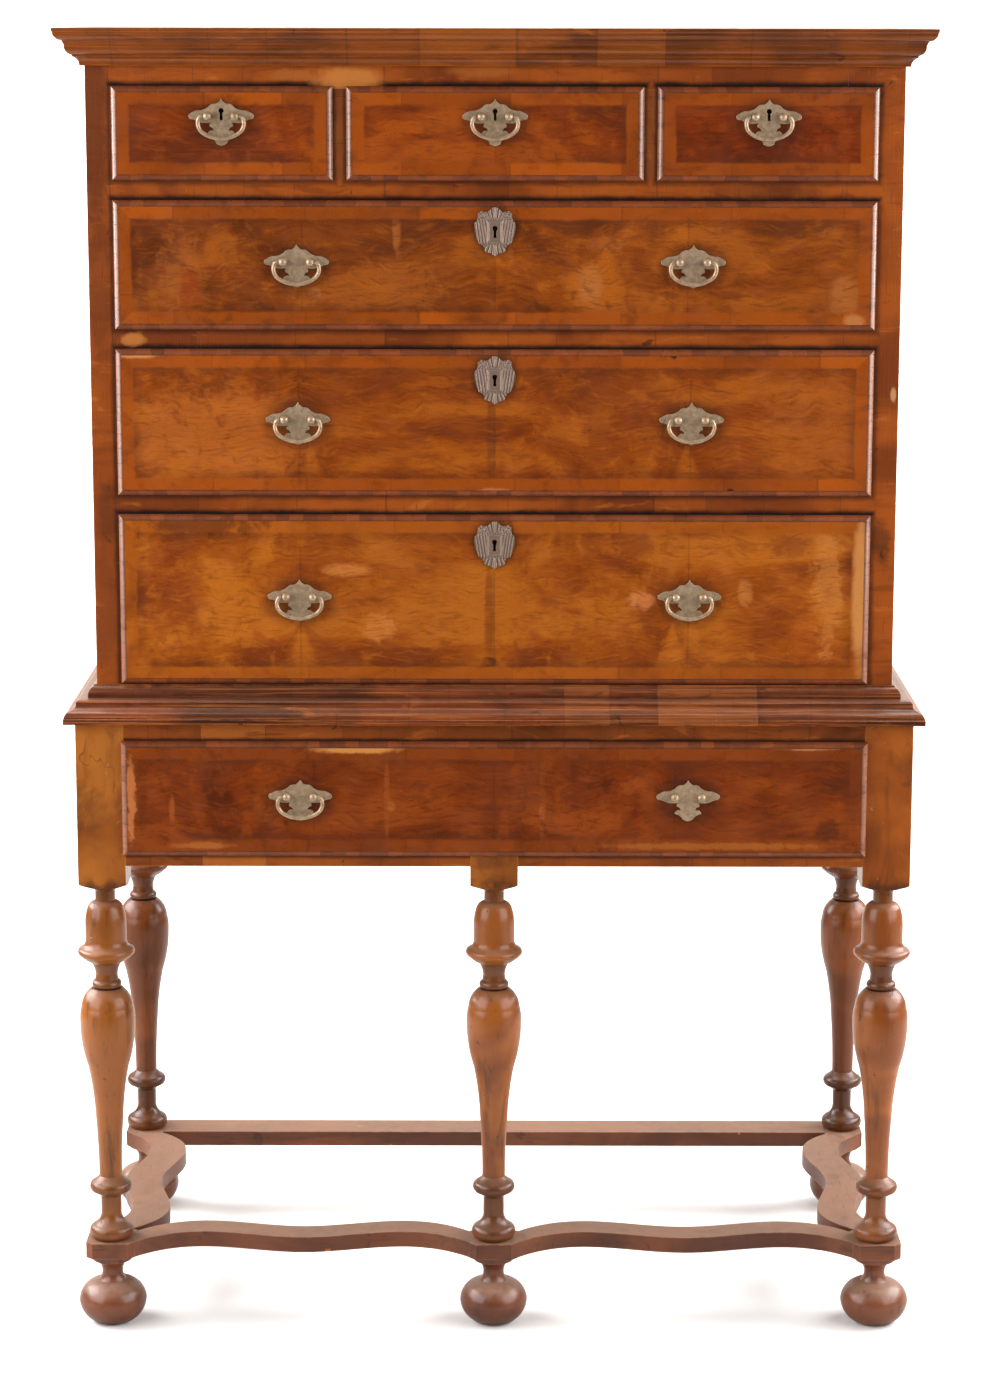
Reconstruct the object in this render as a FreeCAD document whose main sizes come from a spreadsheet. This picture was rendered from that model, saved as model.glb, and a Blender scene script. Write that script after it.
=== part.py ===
import FreeCAD, Part
import math
import os
import Sketcher

# A walnut chest on stand. The upper case holds three small drawers over three long ones. It stands inside
# the waist moulding of a stand with one long drawer, five turned legs, flat shaped stretchers and bun feet.
# Millimetres. X runs to the right, Y from the front to the back and Z up, with the floor at Z = 0.

SIZES = [
    # alias, millimetres, what it is
    ("leg_span", 920, "between the axes of the two front corner legs"),
    ("leg_depth", 428, "between the axes of a front and a back corner leg"),
    ("post_side", 56, "side of the square top of a leg"),
    ("post_low", 543, "underside of the square top of a leg"),
    ("post_round", 8, "height over which the square's lower corners are rounded off"),
    ("post_collar", 24, "radius left under the square after the rounding"),
    ("stand_top_thick", 15, "board that closes the stand and carries the case"),
    ("post_drop", 28, "square top of a leg below the stand's aprons and front rail"),
    ("apron_thick", 20, "thickness of the side and back aprons"),
    ("apron_inset", 4, "an apron's face behind the face of the posts"),
    ("stand_rail_deep", 30, "front to back of the rail under the stand's drawer"),
    ("stand_rail_thick", 16, "height of the rail under the stand's drawer"),
    ("stand_drawer_tall", 131, "height of the opening for the stand's drawer"),
    ("stand_top_rail_tall", 26, "rail above the stand's drawer"),
    ("runner_wide", 52, "width of a runner that carries the stand's drawer"),
    ("runner_thick", 15, "thickness of the stand's runners, and of the guides on them"),
    ("setback", 24, "case face behind the stand's face, in front and at each side"),
    ("board_thick", 20, "sides, top and bottom of the case"),
    ("back_thick", 10, "thickness of the boards across the back"),
    ("back_gap", 2, "gap between two back boards"),
    ("frame_deep", 22, "front to back of the case's stiles and rails"),
    ("waist_clear", 1, "waist moulding below the lip of the bottom drawer"),
    ("rail_tall", 28, "rail between two rows of drawers"),
    ("bottom_row_tall", 193, "opening of the bottom drawer"),
    ("third_row_tall", 163, "opening of the third row"),
    ("second_row_tall", 141, "opening of the second row"),
    ("small_row_tall", 100, "opening of the three small drawers"),
    ("frieze_tall", 47.5, "rail above the small drawers"),
    ("partition_thick", 21, "upright between two small drawers"),
    ("partition_place", 176.5, "from the middle to the middle of an upright"),
    ("dust_thick", 10, "dust board behind each rail"),
    ("guide_tall", 15, "strip that guides a drawer's side"),
    ("front_deep", 16, "part of a drawer front that enters its opening"),
    ("lip_over", 3, "lip of a drawer front over the frame around it"),
    ("lip_gap", 0.3, "back of that lip before the frame when the drawer is shut"),
    ("lip_proud", 7.5, "face of a drawer front before the frame's face"),
    ("field_step", 1, "raised field of a drawer front above its moulded edge"),
    ("ovolo_radius", 6, "rounded edge of a drawer front"),
    ("ovolo_wide", 6.8, "from a drawer front's edge to its raised field"),
    ("front_gap", 1.2, "air around a drawer front in its opening"),
    ("run_gap", 0.3, "air under a drawer that slides"),
    ("box_side_gap", 1.8, "air beside a drawer's side"),
    ("box_drop", 9, "drawer's sides lower than the top of its opening"),
    ("box_back_room", 14, "room behind a closed drawer"),
    ("lining_thick", 10, "sides and back of a drawer"),
    ("bottom_thick", 8, "bottom of a drawer"),
    ("strip_thick", 6, "running strip under a drawer's bottom"),
    ("strip_wide", 16, "width of a running strip"),
    ("handle_place", 226, "from the middle of a long drawer to each handle"),
    ("handle_rise", 4.5, "bail's pivot above the middle of a long drawer"),
    ("small_handle_rise", 19.5, "bail's pivot above the middle of a small drawer"),
    ("plate_thick", 1.5, "back plate of a handle"),
    ("plate_tail", 29, "from the pivot down to the tail of a back plate"),
    ("small_plate_tail", 33, "the same on a small drawer"),
    ("pivot_out", 6, "bail's pivot before its back plate"),
    ("pivot_place", 15.6, "from the middle of a handle to each of its posts"),
    ("post_ball", 4.8, "radius of a handle post's ball"),
    ("post_shank", 2.6, "radius of a handle post's shank"),
    ("shank_sunk", 9, "how far a shank is driven into the drawer front"),
    ("hole_gap", 0.1, "air around a leg's peg in its holes"),
    ("pin_radius", 1.7, "radius of a bail's end in its post"),
    ("pin_gap", 0.05, "running gap around a bail's end"),
    ("pin_short", 0.4, "bail's end short of the inner side of its post's ball"),
    ("bail_radius", 2.3, "radius of a bail's bow"),
    ("bail_clear", 0.6, "bail's shoulder clear of a post's ball"),
    ("bail_drop", 25, "from the pivot to the lowest middle line of a bail"),
    ("bail_bend", 4, "radius of the bend at each end of a bail"),
    ("bail_swell", 5, "from a bail's end out to its widest middle line"),
    ("key_eye", 3, "radius of a keyhole's round eye"),
    ("key_slot", 1.7, "half the width of a keyhole's slot"),
    ("key_drop", 10.5, "from the eye's middle to the foot of a keyhole"),
    ("small_key_rise", 6, "keyhole's eye above the bail's pivot on a small drawer"),
    ("long_key_drop", 28, "keyhole's eye below the top of a long drawer's opening"),
    ("escutcheon_half", 23.5, "half the width of a cast escutcheon"),
    ("escutcheon_tall", 55, "height of a cast escutcheon"),
    ("escutcheon_thick", 2.2, "thickness of a cast escutcheon"),
    ("lock_wide", 54, "width of a lock"),
    ("lock_tall", 44, "height of a lock"),
    ("lock_deep", 12, "thickness of a lock"),
    ("bolt_wide", 22, "width of a lock's bolt"),
    ("bolt_thick", 5, "thickness of a lock's bolt"),
    ("bolt_tall", 24, "height of a lock's bolt"),
    ("bolt_gap", 0.4, "air around a bolt"),
    ("bolt_sunk", 0.5, "drawn bolt below the top of its lock"),
    ("mortise_deep", 12, "depth of the mortise that takes a bolt"),
    ("mortise_gap", 1.5, "air around a bolt in its mortise"),
    ("stretcher_thick", 19, "thickness of the stretchers"),
    ("front_stretcher_wide", 40, "width of the front stretcher's waves"),
    ("side_stretcher_wide", 46, "width of the side stretchers"),
    ("back_stretcher_wide", 50, "width of the back stretcher"),
    ("pad_side", 58, "square pad of the front stretcher under a leg"),
    ("pad_corner", 8, "corner taken off each pad"),
    ("wave_deep", 37, "how far a shaped stretcher swings inwards"),
    ("wave_middle", 17, "how far in it still is at the middle of a bay"),
    ("peg_radius", 9, "peg of a leg through the stretcher into the foot"),
    ("peg_long", 28, "how far that peg enters the foot"),
    ("foot_radius", 40.5, "widest radius of a bun foot"),
    ("foot_middle", 27, "height of a bun foot's widest place"),
    ("foot_sole", 20, "radius of a bun foot's flat sole"),
    ("foot_shoulder", 52, "top of a bun foot's ball"),
    ("foot_neck", 12.4, "radius of a bun foot's neck"),
    ("foot_neck_tall", 26, "height of that neck with its coves"),
    ("foot_collar", 24, "radius of the collar under a stretcher"),
    ("foot_collar_tall", 8, "height of that collar"),
    ("cushion_radius", 26.2, "cushion at the foot of a leg"),
    ("cushion_tall", 17, "height of that cushion"),
    ("ankle_radius", 12.2, "slim neck above the cushion"),
    ("ankle_tall", 35, "height of that neck with its cove"),
    ("knop_radius", 25.2, "ring above the ankle"),
    ("knop_tall", 26, "height of that ring with its slopes"),
    ("knop_edge", 11.4, "height of its rounded edge"),
    ("knop_bow", 2.5, "how far that edge bows out"),
    ("stem_radius", 13.7, "foot of the long trumpet stem"),
    ("stem_tall", 74, "height of the nearly straight stem above that ring"),
    ("vase_radius", 32.8, "widest radius of the vase"),
    ("vase_drop", 40, "widest place of the vase below its neck ring"),
    ("neck_ring_radius", 17, "small ring on top of the vase"),
    ("neck_ring_tall", 10, "height of that ring"),
    ("throat_radius", 13.1, "throat under the disc"),
    ("throat_tall", 21, "height of that throat"),
    ("disc_radius", 33.6, "widest disc of a leg"),
    ("disc_tall", 22, "height of that disc with the slope under it"),
    ("disc_edge", 8, "height of its rounded edge"),
    ("disc_bow", 2, "how far that edge bows out"),
    ("bell_radius", 24.4, "bell above the disc"),
    ("bell_tall", 54, "height of that bell"),
    ("top_neck_radius", 11.8, "neck between the bell and the square"),
    ("top_neck_tall", 20, "height of that neck"),
    ("cornice_out", 33, "cornice before the case's face"),
    ("cornice_tall", 42, "height of the cornice"),
    ("waist_nose", 36.5, "waist moulding before the case's face"),
    ("waist_tall", 25, "waist moulding above the stand's top board"),
    ("waist_skirt", 17, "waist moulding below the top of that board"),
    ("moulding_gap", 0.8, "waist moulding clear of the case that it locates"),
    ("past", 2, "how far a cutting piece passes the face that it cuts"),
]


class Dim:
    """A length that holds both its formula, for setExpression, and its value."""

    def __init__(self, text, value):
        self.text = text
        self.value = value

    def __add__(self, other):
        other = dim(other)
        return Dim(f"({self.text} + {other.text})", self.value + other.value)

    def __sub__(self, other):
        other = dim(other)
        return Dim(f"({self.text} - {other.text})", self.value - other.value)

    def __mul__(self, other):
        other = dim(other)
        return Dim(f"({self.text} * {other.text})", self.value * other.value)

    def __truediv__(self, other):
        other = dim(other)
        return Dim(f"({self.text} / {other.text})", self.value / other.value)

    def __neg__(self):
        return self * -1

    def __radd__(self, other):
        return dim(other) + self

    def __rsub__(self, other):
        return dim(other) - self

    __rmul__ = __mul__


def dim(number):
    """A plain number as a Dim, and a Dim as it is."""
    return number if isinstance(number, Dim) else Dim(f"({number})", float(number))


class SizeSheet:
    """The spreadsheet of driving sizes, with each alias as an attribute."""

    def __init__(self, document):
        sheet = document.addObject("Spreadsheet::Sheet", "Sizes")
        for row, (alias, value, meaning) in enumerate(SIZES, start=1):
            sheet.set(f"A{row}", alias)
            sheet.set(f"B{row}", str(value))
            sheet.set(f"C{row}", meaning)
            sheet.setAlias(f"B{row}", alias)
        document.recompute()
        for alias, _, _ in SIZES:
            setattr(self, alias, Dim(f"Sizes.{alias}", float(getattr(sheet, alias))))


doc = FreeCAD.newDocument("chest_on_stand")
S = SizeSheet(doc)
NODES = []


# ---- tools for drawing and joining -------------------------------------------------------------------

def tie(thing, prop, size):
    """Binds a property to the formula of a Dim."""
    thing.setExpression(prop, dim(size).text)


def place(thing, x=0, y=0, z=0):
    """Binds an object's position."""
    for axis, size in zip("xyz", (x, y, z)):
        tie(thing, f"Placement.Base.{axis}", size)


def board(name, x, y, z):
    """A straight board between two Xs, two Ys and two Zs."""
    box = doc.addObject("Part::Box", name)
    for prop, (low, high) in zip(("Length", "Width", "Height"), (x, y, z)):
        tie(box, prop, dim(high) - low)
    place(box, x[0], y[0], z[0])
    return box


def cut(name, base, *tools):
    """The base with each tool taken out of it."""
    for number, tool in enumerate(tools):
        result = doc.addObject("Part::Cut", f"{name}_cut{number}")
        result.Base = base
        result.Tool = tool
        base = result
    return base


def common(name, one, other):
    """What two pieces share."""
    result = doc.addObject("Part::Common", name)
    result.Base = one
    result.Tool = other
    return result


def node(name, *pieces):
    """Names a sub-part: one piece as it is, or several separate ones as a group."""
    part = pieces[0]
    if len(pieces) > 1:
        part = doc.addObject("Part::Compound", name)
        part.Links = list(pieces)
    part.Label = name
    NODES.append(part)
    return part


def body_named(name):
    return doc.addObject("PartDesign::Body", name)


def sketch_on(body, name, role, offset=0):
    """A sketch on one of the body's own planes, moved out along the plane's normal."""
    sketch = body.newObject("Sketcher::SketchObject", name)
    plane = [item for item in body.Origin.OriginFeatures if item.Role == role][0]
    sketch.AttachmentSupport = [(plane, "")]
    sketch.MapMode = "FlatFace"
    tie(sketch, "AttachmentOffset.Base.z", offset)
    return sketch


def hold(sketch, shape_index, end, x, y):
    """Ties a point of a sketch to its two coordinates."""
    for kind, size, axis in (("DistanceX", dim(x), -2), ("DistanceY", dim(y), -1)):
        if abs(size.value) < 1e-9:
            sketch.addConstraint(Sketcher.Constraint("PointOnObject", shape_index, end, axis))
            continue
        number = sketch.addConstraint(Sketcher.Constraint(kind, -1, 1, shape_index, end, size.value))
        tie(sketch, f"Constraints[{number}]", size)


def rounded_edge(begin, middle, finish):
    """An arc through three points, drawn anticlockwise as a sketch keeps it."""
    arc = Part.Arc(begin, middle, finish).toShape().Curve
    if (finish - begin).cross(middle - begin).z > 0:
        begin, finish = finish, begin
    angles = [math.atan2(point.y - arc.Center.y, point.x - arc.Center.x) for point in (begin, finish)]
    if angles[1] < angles[0]:
        angles[1] += 2 * math.pi
    circle = Part.Circle(arc.Center, FreeCAD.Vector(0, 0, 1), arc.Radius)
    return Part.ArcOfCircle(circle, angles[0], angles[1])


def draw_edges(sketch, corners, closed, turn):
    """Draws the edges between corners. A corner is x, y and how far the edge after it bows to the outside,
    as the height of its arc over half its chord: 0 or nothing is straight, and below 0 is hollow.
    The outside is on the right of the line for a turn of 1, and on its left for -1."""
    points = [FreeCAD.Vector(dim(corner[0]).value, dim(corner[1]).value, 0) for corner in corners]
    first = sketch.GeometryCount
    count = len(points) if closed else len(points) - 1
    starts, ends = [], []
    for index in range(count):
        begin = points[index]
        finish = points[(index + 1) % len(points)]
        bow = corners[index][2] if len(corners[index]) > 2 else 0
        if bow:
            chord = finish - begin
            outward = FreeCAD.Vector(chord.y, -chord.x, 0) * turn
            sketch.addGeometry(rounded_edge(begin, (begin + finish) / 2 + outward * (bow / 2), finish), False)
        else:
            sketch.addGeometry(Part.LineSegment(begin, finish), False)
        forward = (sketch.Geometry[first + index].StartPoint - begin).Length < 1e-6
        starts.append(1 if forward else 2)
        ends.append(2 if forward else 1)
    for index in range(count):
        hold(sketch, first + index, starts[index], corners[index][0], corners[index][1])
        if closed or index + 1 < count:
            following = (index + 1) % count
            sketch.addConstraint(Sketcher.Constraint(
                "Coincident", first + index, ends[index], first + following, starts[following]))
        else:
            hold(sketch, first + index, ends[index], corners[-1][0], corners[-1][1])


def draw_loop(sketch, corners):
    """Draws a closed outline, given either way round."""
    flat = [(dim(corner[0]).value, dim(corner[1]).value) for corner in corners]
    doubled = 0
    for (x, y), (next_x, next_y) in zip(flat, flat[1:] + flat[:1]):
        doubled += x * next_y - next_x * y
    draw_edges(sketch, corners, True, 1 if doubled > 0 else -1)


def draw_circle(sketch, x, y, radius):
    middle = FreeCAD.Vector(dim(x).value, dim(y).value, 0)
    number = sketch.addGeometry(Part.Circle(middle, FreeCAD.Vector(0, 0, 1), dim(radius).value), False)
    hold(sketch, number, 3, x, y)
    size = sketch.addConstraint(Sketcher.Constraint("Radius", number, dim(radius).value))
    tie(sketch, f"Constraints[{size}]", radius)


def rectangle(x, y):
    """The corners of a rectangle between two Xs and two Ys, anticlockwise."""
    return [(x[0], y[0]), (x[1], y[0]), (x[1], y[1]), (x[0], y[1])]


def mirrored(half, x, y):
    """The whole of an outline about x, from its right half: corners from its foot up to its head,
    both on the middle line. Each corner has its place from x, y, and the bow of the edge after it."""
    right = [(x + out, y + up, bow) for out, up, bow in half[:-1]]
    left = []
    for index in range(len(half) - 1, 0, -1):
        out, up, _ = half[index]
        left.append((x - out, y + up, half[index - 1][2]))
    return right + left


def pad(body, name, sketch, length, reverse=False):
    feature = body.newObject("PartDesign::Pad", name)
    feature.Profile = sketch
    tie(feature, "Length", length)
    feature.Reversed = reverse
    body.Tip = feature
    return feature


def pocket(body, name, sketch, depth=None, reverse=False):
    """Cuts a sketch into the body, to a depth or right through."""
    before = body.Tip
    feature = body.newObject("PartDesign::Pocket", name)
    feature.Profile = sketch
    feature.Reversed = reverse
    if depth is None:
        feature.Type = "ThroughAll"
    else:
        tie(feature, "Length", depth)
    body.Tip = feature
    doc.recompute()
    if not feature.Shape.Volume < before.Shape.Volume - 1e-3:
        raise RuntimeError(f"{body.Label}: {name} cuts nothing")
    return feature


def revolve(body, name, sketch, kind="PartDesign::Revolution"):
    feature = body.newObject(kind, name)
    feature.Profile = sketch
    feature.ReferenceAxis = (sketch, ["V_Axis"])
    feature.Angle = 360
    body.Tip = feature
    return feature


def keyhole(sketch, x, z):
    """A keyhole's outline: a round eye over a slot."""
    mouth = math.asin(S.key_slot.value / S.key_eye.value)
    eye = math.tan(math.pi / 2 - mouth / 2)
    neck = S.key_eye.value * math.cos(mouth)
    draw_loop(sketch, [
        (dim(x) - S.key_slot, dim(z) - S.key_drop),
        (dim(x) + S.key_slot, dim(z) - S.key_drop),
        (dim(x) + S.key_slot, dim(z) - neck, eye),
        (dim(x) - S.key_slot, dim(z) - neck),
    ])


# ---- places that several pieces share ----------------------------------------------------------------

stretcher_low = S.foot_shoulder + S.foot_neck_tall + S.foot_collar_tall
stretcher_top = stretcher_low + S.stretcher_thick
apron_low = S.post_low + S.post_drop
stand_sill = apron_low + S.stand_rail_thick
stand_head = stand_sill + S.stand_drawer_tall
stand_frame_top = stand_head + S.stand_top_rail_tall

stand_half = (S.leg_span + S.post_side) / 2
stand_deep = S.leg_depth + S.post_side
opening_half = (S.leg_span - S.post_side) / 2
reach_front = S.lip_proud + S.plate_thick + S.pivot_out + S.post_ball
reach_back = S.post_side / 2 + S.leg_depth + S.foot_radius

# the origin lies midway between the foremost ball of a handle and the rearmost foot
stand_front = (reach_front - reach_back) / 2
stand_back = stand_front + stand_deep
front_leg_y = stand_front + S.post_side / 2
back_leg_y = front_leg_y + S.leg_depth

case_half = stand_half - S.setback
case_front = stand_front + S.setback
case_back = stand_back
inside_back = case_back - S.back_thick
frame_back = case_front + S.frame_deep
case_foot = stand_frame_top + S.stand_top_thick

# the sill of each row of the case, and the underside of the rail above it
bottom_sill = case_foot + S.waist_tall + S.waist_clear + S.lip_over
bottom_head = bottom_sill + S.bottom_row_tall
third_sill = bottom_head + S.rail_tall
third_head = third_sill + S.third_row_tall
second_sill = third_head + S.rail_tall
second_head = second_sill + S.second_row_tall
small_sill = second_head + S.rail_tall
small_head = small_sill + S.small_row_tall
case_cap = small_head + S.frieze_tall
case_top = case_cap + S.board_thick

side_small_middle = (opening_half + S.partition_place + S.partition_thick / 2) / 2
side_small_half = (opening_half - S.partition_place - S.partition_thick / 2) / 2
mid_small_half = S.partition_place - S.partition_thick / 2

# name, middle, half the width, sill and head of its opening, and its kind
DRAWERS = [
    ("small_drawer_left", -side_small_middle, side_small_half, small_sill, small_head, "small"),
    ("small_drawer_middle", dim(0), mid_small_half, small_sill, small_head, "small"),
    ("small_drawer_right", side_small_middle, side_small_half, small_sill, small_head, "small"),
    ("second_drawer", dim(0), opening_half, second_sill, second_head, "long"),
    ("third_drawer", dim(0), opening_half, third_sill, third_head, "long"),
    ("bottom_drawer", dim(0), opening_half, bottom_sill, bottom_head, "long"),
    ("stand_drawer", dim(0), opening_half, stand_sill, stand_head, "stand"),
]


# ---- stand: legs, feet, stretchers ---------------------------------------------------------------------

def leg(name, x, y, post_top):
    """A leg turned below a square top, with a peg that passes the stretcher into the foot."""
    body = body_named(name)
    half = S.post_side / 2
    square = sketch_on(body, f"{name}_square", "XY_Plane", S.post_low)
    draw_loop(square, rectangle((-half, half), (-half, half)))
    pad(body, f"{name}_post", square, post_top - S.post_low)

    corner = S.post_side * 0.75
    round_off = sketch_on(body, f"{name}_rounding", "XZ_Plane")
    draw_loop(round_off, [
        (S.post_collar, S.post_low - S.past),
        (corner, S.post_low - S.past),
        (corner, S.post_low + S.post_round, -0.22),
        (S.post_collar, S.post_low),
    ])
    revolve(body, f"{name}_rounded", round_off, "PartDesign::Groove")

    cushion_top = stretcher_top + S.cushion_tall
    ankle_top = cushion_top + S.ankle_tall
    knop_top = ankle_top + S.knop_tall
    knop_middle = ankle_top + S.knop_tall / 2
    neck_low = S.post_low - S.top_neck_tall
    disc_top = neck_low - S.bell_tall
    disc_low = disc_top - S.disc_tall
    disc_middle = disc_top - S.disc_edge
    throat_low = disc_low - S.throat_tall
    ring_low = throat_low - S.neck_ring_tall
    vase_middle = ring_low - S.vase_drop
    stem_top = knop_top + S.stem_tall
    turn_radius = (S.stem_radius + S.vase_radius) / 2 + 1
    turn_height = stem_top + (vase_middle - stem_top) * 0.53
    profile = [
        (0, stretcher_low - S.peg_long),
        (S.peg_radius, stretcher_low - S.peg_long),
        (S.peg_radius, stretcher_top),
        (S.cushion_radius - 5, stretcher_top, 0.3),
        (S.cushion_radius, stretcher_top + S.cushion_tall / 2, 0.35),
        (S.cushion_radius - 5, cushion_top, -0.3),
        (S.ankle_radius, cushion_top + S.ankle_tall / 2),
        (S.ankle_radius, ankle_top, -0.1),
        (S.knop_radius - S.knop_bow, knop_middle - S.knop_edge / 2, 0.44),
        (S.knop_radius - S.knop_bow, knop_middle + S.knop_edge / 2, -0.1),
        (S.stem_radius, knop_top, -0.02),
        (S.stem_radius + 2.8, stem_top, -0.04),
        (turn_radius, turn_height, 0.08),
        (S.vase_radius, vase_middle, 0.08),
        (S.vase_radius - 2, vase_middle + S.vase_drop * 0.45, 0.22),
        (S.neck_ring_radius + 1.5, ring_low),
        (S.neck_ring_radius - 2.5, ring_low, 0.6),
        (S.neck_ring_radius - 2.5, throat_low),
        (S.throat_radius + 0.8, throat_low),
        (S.throat_radius, throat_low + S.throat_tall / 3, -0.12),
        (S.throat_radius + 4.4, disc_low, 0.08),
        (S.disc_radius - S.disc_bow, disc_middle - S.disc_edge / 2, 0.5),
        (S.disc_radius - S.disc_bow, disc_middle + S.disc_edge / 2, -0.3),
        (S.bell_radius, disc_top + 5),
        (S.bell_radius, disc_top + S.bell_tall / 2, 0.08),
        (S.bell_radius - 3, neck_low - S.bell_tall / 6, 0.3),
        (S.top_neck_radius, neck_low),
        (S.top_neck_radius, neck_low + S.top_neck_tall * 0.6, -0.3),
        (S.post_collar - 1, S.post_low - 2),
        (S.post_collar - 1, S.post_low + S.past),
        (0, S.post_low + S.past),
    ]
    turning = sketch_on(body, f"{name}_outline", "XZ_Plane")
    draw_loop(turning, profile)
    revolve(body, f"{name}_turning", turning)
    place(body, x, y)
    return body


def bun_foot(name, x, y):
    """A turned bun foot, bored for the leg's peg."""
    body = body_named(name)
    bore = S.peg_radius + S.hole_gap
    bore_low = stretcher_low - S.peg_long - S.past
    outline = sketch_on(body, f"{name}_outline", "XZ_Plane")
    draw_loop(outline, [
        (0, 0),
        (S.foot_sole, 0, 0.3),
        (S.foot_radius, S.foot_middle, 0.39),
        (S.foot_neck + 4, S.foot_shoulder, -0.2),
        (S.foot_neck, S.foot_shoulder + S.foot_neck_tall * 0.42, -0.35),
        (S.foot_collar, stretcher_low - S.foot_collar_tall),
        (S.foot_collar, stretcher_low),
        (bore, stretcher_low),
        (bore, bore_low),
        (0, bore_low),
    ])
    revolve(body, f"{name}_turning", outline)
    place(body, x, y)
    return body


def wave(bay_start, bay_end, across, side):
    """Points of one bay of a shaped stretcher's edge: in, part of the way out, and in again."""
    length = bay_end - bay_start
    reach = S.pad_side.value / 2
    return [
        (bay_start + reach, across),
        (bay_start + 0.25 * length, across + side * S.wave_deep.value),
        (bay_start + 0.5 * length, across + side * S.wave_middle.value),
        (bay_start + 0.75 * length, across + side * S.wave_deep.value),
        (bay_end - reach, across),
    ]


def shaped_bay(start, end, middle_line, side, width, turn=False):
    """One wavy bay as a solid. Its two edges are the same smooth curve, half the width either way."""
    edges = []
    for shift in (-width / 2, width / 2):
        curve = Part.BSplineCurve()
        points = []
        for along, across in wave(start, end, middle_line, side):
            across += shift
            point = (across, along, 0) if turn else (along, across, 0)
            points.append(FreeCAD.Vector(*point))
        curve.interpolate(points)
        edges.append((curve.toShape(), points))
    (low, low_points), (high, high_points) = edges
    rim = Part.Wire([
        low,
        Part.makeLine(low_points[-1], high_points[-1]),
        high,
        Part.makeLine(high_points[0], low_points[0]),
    ])
    solid = Part.Face(rim).extrude(FreeCAD.Vector(0, 0, S.stretcher_thick.value))
    solid.translate(FreeCAD.Vector(0, 0, stretcher_low.value))
    return solid


def leg_pad(x, y):
    """The square pad of a stretcher under a leg, with its corners taken off."""
    half = S.pad_side.value / 2
    off = half - S.pad_corner.value
    rim = [(-off, -half), (off, -half), (half, -off), (half, off), (off, half), (-off, half),
           (-half, off), (-half, -off), (-off, -half)]
    wire = Part.makePolygon([FreeCAD.Vector(x + a, y + b, stretcher_low.value) for a, b in rim])
    return Part.Face(wire).extrude(FreeCAD.Vector(0, 0, S.stretcher_thick.value))


def peg_hole(x, y):
    """The hole of a leg's peg through a stretcher."""
    low = FreeCAD.Vector(x, y, stretcher_low.value - S.past.value)
    radius = S.peg_radius.value + S.hole_gap.value
    return Part.makeCylinder(radius, S.stretcher_thick.value + 2 * S.past.value, low)


def front_stretcher():
    """The front stretcher: two wavy bays between three pads."""
    half = S.leg_span.value / 2
    y = front_leg_y.value
    wide = S.front_stretcher_wide.value
    shape = leg_pad(0, y)
    for x in (-half, half):
        shape = shape.fuse(leg_pad(x, y))
    for start, end in ((-half, 0), (0, half)):
        shape = shape.fuse(shaped_bay(start, end, y, 1, wide))
    for x in (-half, 0, half):
        shape = shape.cut(peg_hole(x, y))
    stretcher = doc.addObject("Part::Feature", "front_stretcher")
    stretcher.Shape = shape.removeSplitter()
    return stretcher


def side_stretcher(name, side):
    """A side stretcher: one wavy bay from the front stretcher's pad to the back stretcher."""
    middle = side * S.leg_span.value / 2
    wide = S.side_stretcher_wide.value
    front = front_leg_y.value
    back = back_leg_y.value
    shape = shaped_bay(front, back, middle, -side, wide, turn=True)
    pad_back = front + S.pad_side.value / 2
    end_front = back - S.back_stretcher_wide.value / 2
    tail_front = back - S.pad_side.value / 2
    tail = Part.makeBox(wide, end_front - tail_front, S.stretcher_thick.value,
                        FreeCAD.Vector(middle - wide / 2, tail_front, stretcher_low.value))
    if end_front > tail_front:
        shape = shape.fuse(tail)
    limit = Part.makeBox(2 * S.leg_span.value, end_front - pad_back, 2 * stretcher_top.value,
                         FreeCAD.Vector(-S.leg_span.value, pad_back, 0))
    stretcher = doc.addObject("Part::Feature", name)
    stretcher.Shape = shape.common(limit).removeSplitter()
    return stretcher


def back_stretcher():
    """The plain back stretcher, bored for two pegs."""
    half = (S.leg_span + S.back_stretcher_wide) / 2
    body = body_named("back_stretcher")
    outline = sketch_on(body, "back_stretcher_outline", "XY_Plane", stretcher_low)
    draw_loop(outline, rectangle((-half, half), (-S.back_stretcher_wide / 2, S.back_stretcher_wide / 2)))
    for x in (-S.leg_span / 2, S.leg_span / 2):
        draw_circle(outline, x, 0, S.peg_radius + S.hole_gap)
    pad(body, "back_stretcher_board", outline, S.stretcher_thick)
    place(body, 0, back_leg_y)
    return body


corners = [
    ("front_leg_left", -S.leg_span / 2, front_leg_y),
    ("front_leg_right", S.leg_span / 2, front_leg_y),
    ("back_leg_left", -S.leg_span / 2, back_leg_y),
    ("back_leg_right", S.leg_span / 2, back_leg_y),
]
for leg_name, leg_x, leg_y in corners:
    node(leg_name, leg(leg_name, leg_x, leg_y, stand_frame_top))
node("front_leg_middle", leg("front_leg_middle", dim(0), front_leg_y, stand_sill))

feet = []
for leg_name, leg_x, leg_y in corners + [("front_leg_middle", dim(0), front_leg_y)]:
    feet.append(bun_foot(leg_name.replace("leg", "foot"), leg_x, leg_y))
node("bun_feet", *feet)
node("front_stretcher", front_stretcher())
node("back_stretcher", back_stretcher())
node("side_stretchers", side_stretcher("left_stretcher", -1), side_stretcher("right_stretcher", 1))


# ---- stand: frame --------------------------------------------------------------------------------------

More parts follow.
